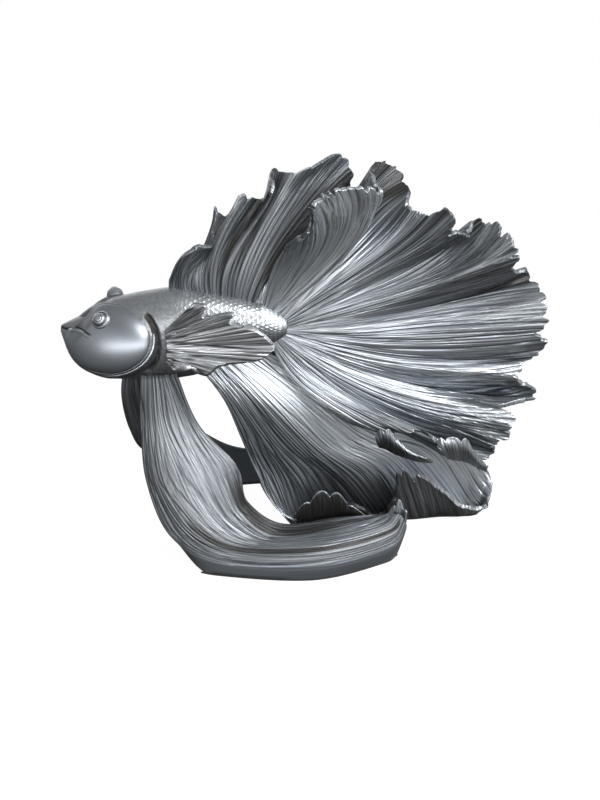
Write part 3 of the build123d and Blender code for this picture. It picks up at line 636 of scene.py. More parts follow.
# Pleats between each two rays: depth, of the deepest; those below zero stand to the right
TAIL_PLEATS_SHARES = [
    0.5, 0.8, -0.3, 0.7, 0.4, -0.3, 0.4, 0.3, -0.3, 0.5, 0.9, 0.6, 0.8, 0.3, -0.6,
    0.7, 1.0, 0.6, 0.9, 0.7, 1.0, -0.6, 0.8, 0.9, 0.5, -0.7, 1.0, 0.8, 0.6, 0.9,
]
PLEAT_GROWTH_SHARES = (0, 0, 0, 0, 0, 0.3, 1)


def set_in(inner, chain):
    """A ray with a straight stretch before it, for the root that sits in the body."""
    root = chain[0]
    return np.vstack([inner, (2 * inner + root) / 3, (inner + 2 * root) / 3, chain])


def swept_ray(inner, root, tip, turns, lean):
    """Control points of a ray: straight in its slot, then a curve that leans aside on its way out."""
    start, end = np.radians(turns)
    reach = np.linalg.norm(tip - root)
    lead = root + reach * RAY_LEAD_SHARE * np.array([np.cos(start), 0, np.sin(start)])
    follow = tip - reach * RAY_FOLLOW_SHARE * np.array([np.cos(end), 0, np.sin(end)])
    follow[1] = root[1] + lean * (tip[1] - root[1])
    return set_in(inner, np.array([root, lead, follow, tip]))


def facings(rays):
    """Unit normals of a fan, at each control point of each ray."""
    places = np.array([on_chain(ray, np.arange(rays.shape[1]) / 3) for ray in rays])
    facing = unit(np.cross(np.gradient(places, axis=1), np.gradient(places, axis=0)))
    return facing * np.sign(facing[:, :, 2].mean())


def fan_sheet(rays, across, along, root_thickness, rim_thickness, foot):
    """Middle of a fin, its facing and half thickness, at places across the rays and along them.

    The sides are smooth nets through the rays, set off by half the thickness; foot, if it is
    given, changes the underside of the rays.
    """
    way = np.linspace(0, 1, rays.shape[1])[None, :, None]
    half = (root_thickness + (rim_thickness - root_thickness) * way) / 2
    facing = facings(rays)
    under = rays - facing * half
    if foot is not None:
        under = foot(rays, way, under)
    sides = []
    for net in (through(rays + facing * half), through(under)):
        lines = on_chain(net.reshape(len(net), -1), across).reshape(len(across), -1, 3)
        index, weights = nearby(along, lines.shape[1])
        near = lines[np.arange(len(across))[:, None, None], index]
        sides.append(np.einsum("uvw,uvwk->uvk", weights, near))
    front, back = sides
    thickness = np.linalg.norm(front - back, axis=2)
    return (front + back) / 2, (front - back) / thickness[..., None], thickness / 2


def strand_row(place, along, seed):
    """Strands side by side, one for each whole number: broad round tops between narrow grooves."""
    place = place + 0.9 * (wander(place * 0.6, along * 1.1, seed) - 0.5)
    which = np.floor(place)
    groove = np.floor(place + 0.5)
    strength = 0.2 + 0.8 * wander(groove * 0.77, along * 1.3 + groove * 0.31, seed + 1)
    top = 1 - np.abs(2 * (place - which) ** 0.85 - 1) ** 3.5
    return 1 - (1 - top) * strength


def strands(across, along, width, pitch, seed):
    """Combed strands of one pitch over a widening fan: where it has doubled, each one has forked."""
    level = np.log2(np.maximum(width, pitch / 64) / pitch)
    whole = np.floor(level)
    forked = eased(level - whole)
    coarse = strand_row(across * 2.0**whole, along, seed)
    fine = strand_row(across * 2.0**(whole + 1), along, seed)
    return coarse * (1 - forked) + fine * forked


EDGE_RADIUS = 0.0012
CRUMPLE_PITCH = 0.015
# Strands of three sizes lie over each other: folds, combed ones and hairs
STRAND_SIZES = (3.2, 1.25, 0.5)
# The height of a strand that lies level with the core, and how thick the core is of the solid's sheet
STRAND_LEVEL = 0.8
CORE_SHARE = 0.85
# Painted shade in narrow and broad hollows of the sheet, and a painted highlight on its bulges: how much, and
# columns to each side
HOLLOWS = ((0.6, 5), (0.5, 18))
# Parts of a step at which closer places lie, for the round edges at the sides and at the rim
SIDE_STEPS = np.array([0.05, 0.17, 0.35, 0.6])
RIM_STEPS = np.array([0.75, 0.5, 0.3, 0.14, 0.04, 0])


def round_edge(distance, half):
    """Thickness share near an edge: a full quarter round, no larger than the half thickness."""
    t = 1 - np.clip(distance / np.minimum(half, EDGE_RADIUS), 0, 1)
    return (1 - t**4) ** 0.25


def edged(first, last, count):
    """Places from first to last, with closer ones at both ends for a round edge."""
    places = np.linspace(first, last, count - 2 * len(SIDE_STEPS))
    close = (places[1] - places[0]) * SIDE_STEPS
    return np.concatenate([[first], first + close, places[1:-1], last - close[::-1], [last]])


def carved_fin(name, rays, columns, rows, pitch, depth, seed, part=None, root_thickness=FIN_ROOT_THICKNESS,
               rim_thickness=FIN_RIM_THICKNESS, from_place=0.5, rim=None, foot=None, shade=None, crumple=0.0,
               drift=0.0):
    """Closed shell over a fan, or from the first to the last ray of a part: strands carved in both sides.

    rim, if given, says how much of each ray is missing; crumple is how far the sheet strays near it.
    shade, if given, is painted shade that darkens places, or where it is below 0 a painted highlight
    that brightens the crests and deepens the grooves; drift is how many rays the strands move aside on
    their way out, in an S.
    """
    first, last = part or (0, len(rays) - 1)
    across = edged(first, last, columns)
    ends = (rays.shape[1] - 1) / 3
    run = np.linspace(0, 1, rows + 1 - len(RIM_STEPS))
    run = np.concatenate([run[:-1], 1 - (1 - run[-2]) * RIM_STEPS])
    torn = 0 * across if rim is None else rim(across)
    along = from_place + (ends - from_place) * (run * (1 - torn[:, None] * run**2))
    middle, facing, half = fan_sheet(rays, across, along, root_thickness, rim_thickness, foot)
    step_across = np.linalg.norm(np.gradient(middle, across, axis=0), axis=2)
    step_along = np.linalg.norm(np.gradient(middle, run, axis=1), axis=2)
    crumpled = wander(across[:, None] * step_across[:, -1:].mean() / CRUMPLE_PITCH, run * 2, seed + 3) - 0.5
    middle = middle + facing * (2 * crumple * crumpled * eased(run, 0.82, 1)**1.5)[..., None]
    ends_of_part = np.minimum(across - first, last - across)[:, None] * step_across
    edge = round_edge((1 - run) * step_along, half) * round_edge(ends_of_part, half)
    plain = eased(ends_of_part, 0.1 * half, 0.5 * half)
    spread = across[:, None] + np.zeros_like(along)
    swirl = drift * wander(spread * 0.14, run * 1.7, seed + 9) * eased(run, 0.05, 0.4)
    calm = wander(spread * 0.8, along * 2.2, seed + 7) * eased(run, 0.1, 0.35)
    shaded = 0 if shade is None else shade(spread, run)
    # Painted shade, and a painted highlight where the shade is below 0
    dark, bright = np.maximum(shaded, 0), np.maximum(-shaded, 0)
    bands = []
    for sign in (1, -1):
        folds, combed, hairs = (
            strands(spread + swirl, along, step_across, pitch * size, seed + number + 10 * sign)
            for number, size in enumerate(STRAND_SIZES))
        height = depth * (
            0.8 * (folds - STRAND_LEVEL) + (1.0 - 0.6 * calm) * (combed - STRAND_LEVEL)
            + 0.4 * (hairs - STRAND_LEVEL))
        # Painted shade where the sheet is hollow, a painted highlight where it bulges
        hollow = sum(share * bent(middle, facing * sign, reach) for share, reach in HOLLOWS)
        low = np.maximum.reduce([
            1 - eased(combed, 0.1 + 0.5 * bright, 0.7 + 0.5 * bright), 0.9 * (1 - eased(folds, 0.0, 0.6)),
            0.4 * (1 - eased(hairs, 0.1, 0.6))])
        high = 0.6 * eased(combed, 0.7, 1) * eased(folds, 0.5, 1) + 0.3 * eased(hairs, 0.5, 1)
        bands.append((
            middle + facing * (sign * (half * CORE_SHARE + height) * edge)[..., None],
            ((1 - 0.45 * calm) * low + np.maximum(hollow, 0)) * plain * (1 + bright) + dark,
            (high - hollow) * plain + 0.4 * (1 - plain) - 0.5 * dark + bright,
        ))
    return shell(name, np.stack([spread, along], -1), *bands)


def bent(middle, facing, reach):
    """How hollow a sheet is across its strands, over some columns to each side; a bulge is below 0."""
    columns = np.arange(len(middle))
    before, after = np.maximum(columns - reach, 0), np.minimum(columns + reach, len(middle) - 1)
    rise = (middle[before] + middle[after]) / 2 - middle
    width = np.linalg.norm(middle[after] - middle[before], axis=2)
    return np.clip(3 * np.einsum("uvk,uvk->uv", rise, facing) / (width + 1e-6), -0.4, 0.6)


def shell(name, flow, front, back):
    """Closed piece from two sheets of places, recesses and crests that meet all round their rim."""
    columns, rows = flow.shape[:2]
    front_index = np.arange(columns * rows).reshape(columns, rows)
    back_index = front_index.copy()
    inside = (slice(1, -1), slice(1, -1))
    back_index[inside] = columns * rows + np.arange((columns - 2) * (rows - 2)).reshape(columns - 2, rows - 2)

    def cells(index):
        return np.stack([index[:-1, :-1], index[:-1, 1:], index[1:, 1:], index[1:, :-1]], -1).reshape(-1, 4)

    def both(one, other):
        depth = one.shape[2:]
        return np.concatenate([one.reshape(-1, *depth), other[inside].reshape(-1, *depth)])

    points, recess, crest = (both(one, other) for one, other in zip(front, back))
    quads = np.concatenate([cells(front_index), cells(back_index)[:, ::-1]])
    return made(name, points, quads, flow=both(flow, flow), recess=recess, crest=crest)


def pleated(rays, depth, shares):
    """The fan with one more ray between each two, set off to the left near the rim by its pleat's depth."""
    ends = np.concatenate([[2 * rays[0] - rays[1]], rays, [2 * rays[-1] - rays[-2]]])
    fan = np.repeat(rays, 2, axis=0)[:-1]
    fan[1::2] = (9 * (ends[1:-2] + ends[2:-1]) - ends[:-3] - ends[3:]) / 16
    facing = facings(fan)
    facing = facing * -np.sign(facing[:, :, 1].mean())
    growth = np.outer(shares, PLEAT_GROWTH_SHARES)[..., None]
    fan[1::2] += depth * growth * facing[1::2]
    return fan


def tail_rays():
    middle = body_section(1.0)[0]
    count = len(TAIL_TIPS_SHARES)
    rays = []
    for index, ((along, up, aside), turns) in enumerate(zip(TAIL_TIPS_SHARES, TAIL_TURNS)):
        spread = 1 - 2 * index / (count - 1)
        sag = TAIL_ROOT_SAG_ABOVE if spread > 0 else TAIL_ROOT_SAG_BELOW
        root = middle + np.array([-sag * spread**2, 0, TAIL_ROOT_SPREAD / 2 * spread])
        inner = middle + np.array([
            -TAIL_TONGUE - TAIL_TONGUE_SLANT * spread, 0, TAIL_TONGUE_SPREAD / 2 * spread])
        tip = middle + TAIL_REACH * np.array([along, aside, up])
        rays.append(swept_ray(inner, root, tip, turns, TAIL_LEAN_SHARE))
    return pleated(np.array(rays), TAIL_PLEAT_DEPTH, TAIL_PLEATS_SHARES)


def torn_rim(across):
    """How much of each ray is missing at the rim: broad nicks and small ones."""
    broad = wander(across * 1.1, across * 0, 21) ** 3
    small = wander(across * 4.3, across * 0, 22) ** 2
    return TORN_SHARE * broad + TORN_SHARE * small


fin_paint = silver(
    "fin_paint", paint=(0.25, 0.29, 0.34), crest_paint=(0.80, 0.85, 0.90), wash=FIN_WASH,
    streaks=(40, 0.35))


def tail_shade(spread, run):
    """Painted shade on the upper right's rim, the lowest folds and the lobe that leans back;
    a painted highlight on the upper left.
    """
    upper = between(spread, 16, 22, 36, 41) * eased(run, 0.5, 0.9)
    lower = eased(spread, 50, 56) * eased(run, 0.55, 0.95)
    back = between(spread, 10, 12, 16, 18) * eased(run, 0.6, 0.85)
    return 0.5 * upper + 0.3 * lower + 1.3 * back - 0.5 * (1 - eased(spread, 14, 20))


TAIL_LOBES = 6
LOBE_RAYS = 10
rays = tail_rays()
for number in range(TAIL_LOBES):
    lobe = carved_fin(
        f"tail_lobe_{number + 1}", rays, columns=260, rows=116, pitch=STRAND_PITCH, depth=STRAND_DEPTH,
        seed=5, part=(number * LOBE_RAYS, (number + 1) * LOBE_RAYS), rim=torn_rim, shade=tail_shade,
        crumple=0.004, drift=2.8)
    cast(lobe, fin_paint, "tail_fin")

# Rays of the tail's curls, root to tip: along, up and aside of the trunk's end, in 1/1000 of the reach
TAIL_LEAF_RAYS = [
    [(609, -495, -115), (580, -439, -170), (559, -419, -155)],
    [(622, -503, -109), (594, -422, -170), (576, -378, -161)],
    [(646, -513, -98), (622, -428, -167), (609, -380, -167)],
    [(675, -523, -86), (661, -432, -158), (658, -378, -161)],
    [(710, -546, -69), (696, -467, -141), (693, -425, -144)],
    [(745, -572, -52), (732, -515, -115), (732, -494, -109)],
    [(782, -601, -23), (772, -557, -80), (776, -550, -69)],
]
TAIL_KNOB_RAYS = [
    [(353, -478, -57), (340, -437, -95), (331, -420, -86)],
    [(379, -480, -69), (365, -413, -112), (354, -371, -109)],
    [(406, -492, -80), (393, -418, -124), (384, -369, -121)],
    [(447, -503, -92), (427, -441, -129), (411, -403, -121)],
    [(500, -511, -109), (474, -467, -141), (454, -446, -126)],
    [(556, -509, -121), (526, -476, -155), (502, -467, -144)],
]
CURL_THICKNESS = 0.0022
SCALLOP_SHARE = 0.3


def curl(name, node, rays, shade=None):
    """Small leaf of a rim that has curled over towards the viewer."""
    places = body_section(1.0)[0] + TAIL_REACH * (np.array(rays)[..., [0, 2, 1]] / 1000)
    leaf = carved_fin(
        name, np.array([through(ray) for ray in places]), columns=90, rows=34,
        pitch=STRAND_PITCH / 2, depth=STRAND_DEPTH / 2, seed=91, root_thickness=CURL_THICKNESS,
        rim_thickness=CURL_THICKNESS / 2, from_place=0, rim=scalloped_rim, shade=shade)
    cast(leaf, fin_paint, node)


def scalloped_rim(across):
    """Round lobes, of about a ray and a half each, with deep narrow notches between them."""
    return SCALLOP_SHARE * (1 - np.abs(np.sin(across * 2.1 + 0.4)) ** 0.6)


curl("tail_curl_right", "tail_fin", TAIL_LEAF_RAYS)
curl("tail_curl_left", "tail_fin", TAIL_KNOB_RAYS)

# Dorsal fin
# A pleated fan that leans to the right of the fish, carved like the tail, glued into a slot in the back.
# Its colour is the same silver; its front edge is stepped and its top is torn.
DORSAL_HEIGHT = 0.082
DORSAL_ROOT_LENGTH = 0.055
DORSAL_BEFORE_TAIL = 0.020
DORSAL_LEAN_SHARE = 0.9
SLOT_DEPTH = 0.009
DORSAL_PITCH = 0.0025
DORSAL_DEPTH = 0.0015
DORSAL_RAYS_SHARES = [
    (0.00, 0.00, 0.08, -0.02), (0.07, 0.08, 0.25, -0.07), (0.15, 0.23, 0.41, -0.13),
    (0.23, 0.35, 0.37, 0.06), (0.31, 0.36, 0.58, 0.25), (0.39, 0.45, 0.55, 0.12),
    (0.46, 0.57, 0.75, 0.00), (0.54, 0.70, 0.68, 0.14), (0.62, 0.82, 0.77, 0.05),
    (0.70, 0.84, 0.88, 0.26), (0.78, 1.02, 0.92, 0.22), (0.85, 1.18, 0.96, 0.32),
    (0.91, 1.34, 0.96, 0.41), (0.96, 1.44, 0.80, 0.42), (1.00, 1.40, 0.60, 0.42),
]
DORSAL_TURNS = [
    (110, 100), (104, 80), (102, 64), (99, 70), (96, 86), (93, 70), (91, 64), (88, 62),
    (85, 62), (82, 76), (78, 62), (75, 52), (73, 48), (70, 34), (66, 40),
]


def back_height(x):
    middle, tall, wide = body_section((x + SNOUT_AHEAD) / BODY_LENGTH)
    return middle[..., 2] + tall


def dorsal_rays():
    rear = BODY_LENGTH - SNOUT_AHEAD - DORSAL_BEFORE_TAIL
    front = rear - DORSAL_ROOT_LENGTH
    low, lower = back_height(np.array([front, rear])) - SLOT_DEPTH
    base = np.array([front, 0, low + SLOT_DEPTH])
    rays = []
    for (at, along, up, aside), turns in zip(DORSAL_RAYS_SHARES, DORSAL_TURNS):
        x = front + at * DORSAL_ROOT_LENGTH
        root = np.array([x, 0, back_height(x)])
        inner = np.array([x, 0, low + at * (lower - low)])
        tip = base + DORSAL_HEIGHT * np.array([along, aside, up])
        rays.append(swept_ray(inner, root, tip, turns, DORSAL_LEAN_SHARE))
    return np.array(rays)


def dorsal_shade(spread, run):
    """Painted shade all over, more where its rear edge runs behind the tail and less towards its rim."""
    return 0.54 + 0.45 * eased(spread, 11.0, 13.2) * eased(run, 0.3, 0.5) - 0.2 * eased(run, 0.7, 1)


dorsal = carved_fin(
    "dorsal_sail", dorsal_rays(), columns=400, rows=110, pitch=DORSAL_PITCH, depth=DORSAL_DEPTH, seed=31,
    rim=torn_rim, shade=dorsal_shade, crumple=0.003, drift=1.0)
cast(dorsal, fin_paint, "dorsal_fin")

# Last fold of its root, behind the tail
DORSAL_WEB_RAYS = [
    [(-136, 88, 6), (-117, 154, 17), (-105, 226, 34)],
    [(-103, 84, 6), (-84, 154, 17), (-69, 222, 34)],
    [(-70, 68, 6), (-51, 145, 11), (-28, 210, 23)],
]
curl("dorsal_web", "dorsal_fin", DORSAL_WEB_RAYS)

# Anal fin
# A sheet from the belly down to the table and back, curled and hollow along its lower edge.
# Its lowest fold is the middle foot of the figurine, cut flat for its felt.
ANAL_SWEEP = 0.204
ANAL_DEPTH = 0.031
ANAL_ALONG_SHARE = 0.62
# Rays, root to tip: along as a share of the sweep, up of the root's height, aside of the depth
ANAL_RAYS_SHARES = [
    [(0.00, 1.00, 0.00), (0.07, 0.83, 0.00), (0.12, 0.59, 0.05), (0.16, 0.38, 0.12),
     (0.21, 0.19, 0.06), (0.31, 0.01, -0.07)],
    [(0.018, 1.00, 0.00), (0.10, 0.82, -0.06), (0.17, 0.58, 0.00), (0.24, 0.33, 0.12),
     (0.31, 0.02, -0.01), (0.36, 0.19, -0.28)],
    [(0.036, 1.00, 0.00), (0.13, 0.80, -0.13), (0.22, 0.56, -0.06), (0.31, 0.32, 0.06),
     (0.39, 0.01, 0.16), (0.43, 0.24, -0.19)],
    [(0.054, 1.00, 0.00), (0.17, 0.79, -0.19), (0.28, 0.55, -0.13), (0.40, 0.31, 0.10),
     (0.49, 0.01, 0.29), (0.49, 0.20, -0.29)],
    [(0.072, 1.00, 0.00), (0.21, 0.79, -0.26), (0.34, 0.54, -0.19), (0.47, 0.31, 0.06),
     (0.58, 0.01, 0.39), (0.57, 0.15, -0.40)],
    [(0.09, 1.00, 0.00), (0.25, 0.78, -0.24), (0.39, 0.53, -0.17), (0.54, 0.33, 0.10),
     (0.65, 0.01, 0.45), (0.63, 0.24, -0.36)],
    [(0.11, 1.00, 0.00), (0.28, 0.78, -0.16), (0.44, 0.51, 0.00), (0.59, 0.34, 0.20),
     (0.71, 0.01, 0.49), (0.64, 0.42, -0.42)],
    [(0.13, 1.00, 0.00), (0.30, 0.78, -0.02), (0.48, 0.52, 0.15), (0.64, 0.36, 0.38),
     (0.79, 0.01, 0.60), (0.74, 0.34, -0.32)],
    [(0.145, 1.00, 0.00), (0.31, 0.79, 0.08), (0.52, 0.51, 0.32), (0.69, 0.37, 0.52),
     (0.87, 0.01, 0.71), (0.85, 0.17, -0.06)],
    [(0.16, 1.00, 0.00), (0.32, 0.81, 0.25), (0.55, 0.53, 0.40), (0.78, 0.39, 0.65),
     (0.93, 0.04, 0.87), (0.96, 0.09, 0.32)],
    [(0.18, 1.00, 0.00), (0.325, 0.855, 0.36), (0.59, 0.585, 0.48), (0.85, 0.42, 0.77),
     (0.96, 0.25, 1.00), (1.00, 0.13, 0.75)],
]


def belly_height(x, aside=0.0):
    middle, tall, wide = body_section((x + SNOUT_AHEAD) / BODY_LENGTH)
    return middle[..., 2] - tall * np.sqrt(1 - ((aside - middle[..., 1]) / wide)**2)


def hung_rays(shares, from_share, sweep, out, aside=0.0):
    """Rays of a fin that hangs from the belly; heights are shares of the belly's over each ray's root."""
    front = from_share * BODY_LENGTH - SNOUT_AHEAD
    rays = []
    for row in shares:
        root_x = front + row[0][0] * sweep
        height = belly_height(root_x, aside)
        points = [(front + x * sweep, y * out, z * height) for x, z, y in row[1:]]
        points = np.array([(root_x, aside, height)] + points)
        rays.append(set_in(np.array([root_x, aside, height + SLOT_DEPTH]), through(points)))
    return np.array(rays)


def above_table(piece, height):
    """Flattens what hangs lower than the pads on to their top."""
    places = read_all(piece.data.vertices, "co", 3)
    places[:, 2] = np.maximum(places[:, 2], height)
    piece.data.vertices.foreach_set("co", places.ravel())
    piece.data.update()


def anal_shade(spread, run):
    """Painted shade in the hollow of the curl at the front end, and a painted highlight on the folds behind
    it.
    """
    front = 0.95 * eased(run, 0.80, 0.86) * between(spread, 0.2, 0.8, 5.2, 6.2)
    return front - 0.15 * eased(spread, 5.2, 6.2) - 0.4 * eased(spread, 7.5, 9) * eased(run, 0.5, 0.8)


PAD_THICKNESS = 0.0012
anal = carved_fin(
    "anal_skirt", hung_rays(ANAL_RAYS_SHARES, ANAL_ALONG_SHARE, ANAL_SWEEP, ANAL_DEPTH), columns=300,
    rows=156, pitch=STRAND_PITCH, depth=STRAND_DEPTH, seed=41, rim=torn_rim, shade=anal_shade,
    crumple=0.0015, drift=0.7)
above_table(anal, PAD_THICKNESS)
cast(anal, fin_paint, "anal_fin")

# Last fold of its root, behind the tail
ANAL_WEB_RAYS = [
    [(-102, -82, 11), (-80, -130, 29), (-58, -183, 46)],
    [(-75, -70, 11), (-50, -118, 29), (-24, -170, 46)],
    [(-45, -62, 11), (-12, -107, 23), (22, -178, 34)],
]
curl("anal_web", "anal_fin", ANAL_WEB_RAYS)

# Its front edge, curled up over the hollow, with painted shade on all but its rim
ANAL_CURL_RAYS = [
    [(37, -813, -40), (33, -792, -49), (29, -778, -46)],
    [(73, -805, -46), (73, -757, -57), (72, -716, -57)],
    [(120, -796, -46), (122, -729, -60), (123, -670, -63)],
    [(172, -790, -49), (175, -723, -62), (178, -664, -63)],
    [(223, -795, -55), (224, -742, -68), (225, -696, -69)],
    [(275, -804, -63), (271, -768, -75), (269, -738, -75)],
    [(330, -814, -69), (329, -793, -78), (329, -779, -75)],
]


curl("anal_curl", "anal_fin", ANAL_CURL_RAYS, lambda spread, run: 1.4 * (1 - eased(run, 0.88, 0.97)))

# Pelvic fins
# Two ribbons from the belly, swept down and out, that end in solid feet along the table.
# They carry most of the weight; the feet are cut flat and have felt under them.
PELVIC_SWEEP = 0.176
PELVIC_ROOT_OFFSET = 0.011
LEFT_STANCE = 0.064
RIGHT_STANCE = 0.097
PELVIC_FOOT_FROM_SHARE = 0.55
FOOT_TUCK_SHARE = 0.04
FOOT_DROP = 0.004
PELVIC_ALONG_SHARE = 0.35
PELVIC_PITCH = 0.0023
PELVIC_STRAND_DEPTH = 0.0014
# Painted shade over all of the right ribbon
FAR_SHADE = 0.42
# Rays, root to tip: along as a share of the sweep, up of the root's height, out of the stance
LEFT_PELVIC_SHARES = [
    [(0.00, 1.00, 0.16), (0.00, 0.72, 0.25), (0.02, 0.45, 0.47), (0.11, 0.19, 0.74),
     (0.30, 0.08, 0.92), (0.66, 0.09, 1.00), (0.93, 0.11, 0.70), (1.00, 0.21, 0.53)],
    [(0.04, 1.00, 0.17), (0.05, 0.72, 0.31), (0.10, 0.46, 0.59), (0.22, 0.24, 0.78),
     (0.40, 0.15, 0.85), (0.67, 0.18, 0.90), (0.92, 0.20, 0.63), (0.98, 0.28, 0.52)],
    [(0.07, 1.00, 0.17), (0.10, 0.72, 0.31), (0.20, 0.46, 0.56), (0.30, 0.25, 0.69),
     (0.45, 0.15, 0.74), (0.68, 0.18, 0.77), (0.90, 0.21, 0.57), (0.96, 0.28, 0.50)],
    [(0.11, 1.00, 0.17), (0.17, 0.72, 0.25), (0.28, 0.46, 0.45), (0.36, 0.25, 0.56),
     (0.50, 0.13, 0.58), (0.71, 0.17, 0.58), (0.88, 0.22, 0.47), (0.95, 0.26, 0.45)],
    [(0.14, 1.00, 0.16), (0.21, 0.70, 0.17), (0.35, 0.50, 0.31), (0.39, 0.29, 0.38),
     (0.53, 0.17, 0.39), (0.73, 0.21, 0.39), (0.87, 0.22, 0.38), (0.94, 0.22, 0.39)],
]
RIGHT_PELVIC_SHARES = [
    [(-0.08, 1.00, 0.11), (-0.10, 0.80, 0.17), (-0.09, 0.54, 0.31), (-0.05, 0.31, 0.52),
     (0.10, 0.12, 0.80), (0.35, 0.08, 1.00), (0.64, 0.08, 1.00), (0.85, 0.12, 0.86)],
    [(-0.02, 1.00, 0.12), (-0.02, 0.80, 0.19), (0.02, 0.55, 0.35), (0.09, 0.37, 0.56),
     (0.24, 0.21, 0.75), (0.45, 0.18, 0.85), (0.68, 0.18, 0.85), (0.85, 0.17, 0.75)],
    [(0.04, 1.00, 0.11), (0.07, 0.81, 0.17), (0.12, 0.60, 0.31), (0.19, 0.42, 0.50),
     (0.33, 0.28, 0.64), (0.52, 0.22, 0.69), (0.70, 0.21, 0.69), (0.83, 0.19, 0.63)],
]


def standing_foot(rays, way, under):
    """Past the foot's start, the underside drops below the table and is drawn in a little."""
    ground = rays.copy()
    ground[:, :, 0] -= (rays[:, :, 0] - rays[0, 0, 0]) * FOOT_TUCK_SHARE
    ground[:, :, 2] = PAD_THICKNESS - FOOT_DROP
    return np.where(way >= PELVIC_FOOT_FROM_SHARE, ground, under)


def near_shade(spread, run):
    """Painted shade over the left ribbon, more along its outer third and in a few deep grooves,
    and a painted highlight at its foot's outer edge.
    """
    deep = eased(wander(spread * 3.2, run * 1.5, 77), 0.56, 0.66) * eased(run, 0.25, 0.5)
    foot = eased(run, 0.45, 0.65)
    outer = 0.14 * (1 - eased(spread, 0.8, 1.8)) - 0.3 * foot * (1 - eased(spread, 0.08, 0.3))
    return 0.52 - 0.02 * foot + outer + 0.6 * deep * (1 - eased(run, 0.93, 0.98)) * eased(spread, 0.3, 0.8)


for side, name, shares, stance, shade in (
        (-1, "left", LEFT_PELVIC_SHARES, LEFT_STANCE, near_shade),
        (1, "right", RIGHT_PELVIC_SHARES, RIGHT_STANCE, lambda spread, run: FAR_SHADE)):
    rays = hung_rays(shares, PELVIC_ALONG_SHARE, PELVIC_SWEEP, side * stance, side * PELVIC_ROOT_OFFSET)
    ribbon = carved_fin(
        f"pelvic_ribbon_{name}", rays, columns=150, rows=230, pitch=PELVIC_PITCH, depth=PELVIC_STRAND_DEPTH,
        seed=51, foot=standing_foot, shade=shade, drift=0.3)
    above_table(ribbon, PAD_THICKNESS)
    cast(ribbon, fin_paint, f"pelvic_fin_{name}")

# Rays of the hook at the left foot's end, root to tip, as the tail's curls
FOOT_HOOK_RAYS = [
    [(357, -792, -144), (356, -776, -141), (356, -760, -138)],
    [(379, -789, -149), (377, -763, -144), (375, -737, -138)],
    [(402, -777, -161), (401, -740, -152), (400, -702, -144)],
    [(423, -761, -172), (422, -708, -161), (422, -655, -149)],
    [(442, -749, -178), (441, -705, -170), (440, -662, -161)],
    [(456, -738, -190), (457, -715, -187), (459, -692, -184)],
]
curl("foot_hook_left", "pelvic_fin_left", FOOT_HOOK_RAYS)

# Pectoral fins
# Small ribbed fans, each on a tenon in the flank behind the gill cover.
# The upper lobe is darkened with painted shade, as the inside of a roll is.
PECTORAL_LENGTH = 0.068
PECTORAL_HEIGHT = 0.048
PECTORAL_FLARE = 0.017
PECTORAL_THICKNESS = 0.0026
PECTORAL_TENON_HEIGHT = 0.024
PECTORAL_BEHIND_GILL = 0.0059
GLUE_GAP = 0.0003
PECTORAL_PITCH = 0.0060
PECTORAL_DEPTH = 0.0026
PECTORAL_TIPS_SHARES = [
    (0.26, 0.66, 0.55), (0.39, 0.67, 0.75), (0.37, 0.50, 0.62), (0.64, 0.61, 0.95),
    (0.61, 0.44, 0.74), (0.84, 0.37, 0.95), (0.98, 0.17, 0.80), (1.00, 0.08, 0.92),
    (0.84, -0.10, 0.75), (0.53, -0.12, 0.92), (0.37, -0.31, 0.75), (0.21, -0.17, 0.78),
    (0.07, -0.28, 0.50),
]


def pectoral_rays(side):
    gill_end = GILL_ALONG_SHARE * BODY_LENGTH + GILL_LENGTH / 2 + GILL_RIM
    middle, tall, wide = body_section((gill_end + PECTORAL_BEHIND_GILL) / BODY_LENGTH)
    root_x = middle[0]
    stand = wide + PECTORAL_THICKNESS / 2 + GLUE_GAP
    count = len(PECTORAL_TIPS_SHARES)
    rays = []
    for index, (along, up, out) in enumerate(PECTORAL_TIPS_SHARES):
        spread = 1 - 2 * index / (count - 1)
        root = np.array([root_x, side * stand, middle[2] + PECTORAL_TENON_HEIGHT / 2 * spread])
        reach = np.array([along * PECTORAL_LENGTH, side * out * PECTORAL_FLARE, up * PECTORAL_HEIGHT])
        tip = np.array([root_x, side * stand, middle[2]]) + reach
        rays.append(np.array([root + (tip - root) * t for t in (0, 1 / 3, 2 / 3, 1)]))
    return np.array(rays)


pectoral_paint = silver(
    "pectoral_paint", paint=(0.66, 0.69, 0.74), crest_paint=(0.92, 0.95, 0.98), wash=FIN_WASH,
    streaks=(6, 0.35))


def pectoral_shade(spread, run):
    """A painted highlight over most of the fan, and painted shade on the upper lobe, as in the inside of a
    roll.
    """
    lobe = (1 - eased(spread, 1.2, 2.2)) * between(run, 0.05, 0.3, 0.85, 0.95)
    return 0.7 * lobe - 0.3 * eased(spread, 2, 3)


for side, name in ((-1, "left"), (1, "right")):
    fan = carved_fin(
        f"pectoral_fan_{name}", pectoral_rays(side), columns=220, rows=76, pitch=PECTORAL_PITCH,
        depth=PECTORAL_DEPTH, seed=61, root_thickness=PECTORAL_THICKNESS, rim_thickness=PECTORAL_THICKNESS,
        from_place=0, shade=pectoral_shade, crumple=0.0015)
    cast(fan, pectoral_paint, f"pectoral_fin_{name}")

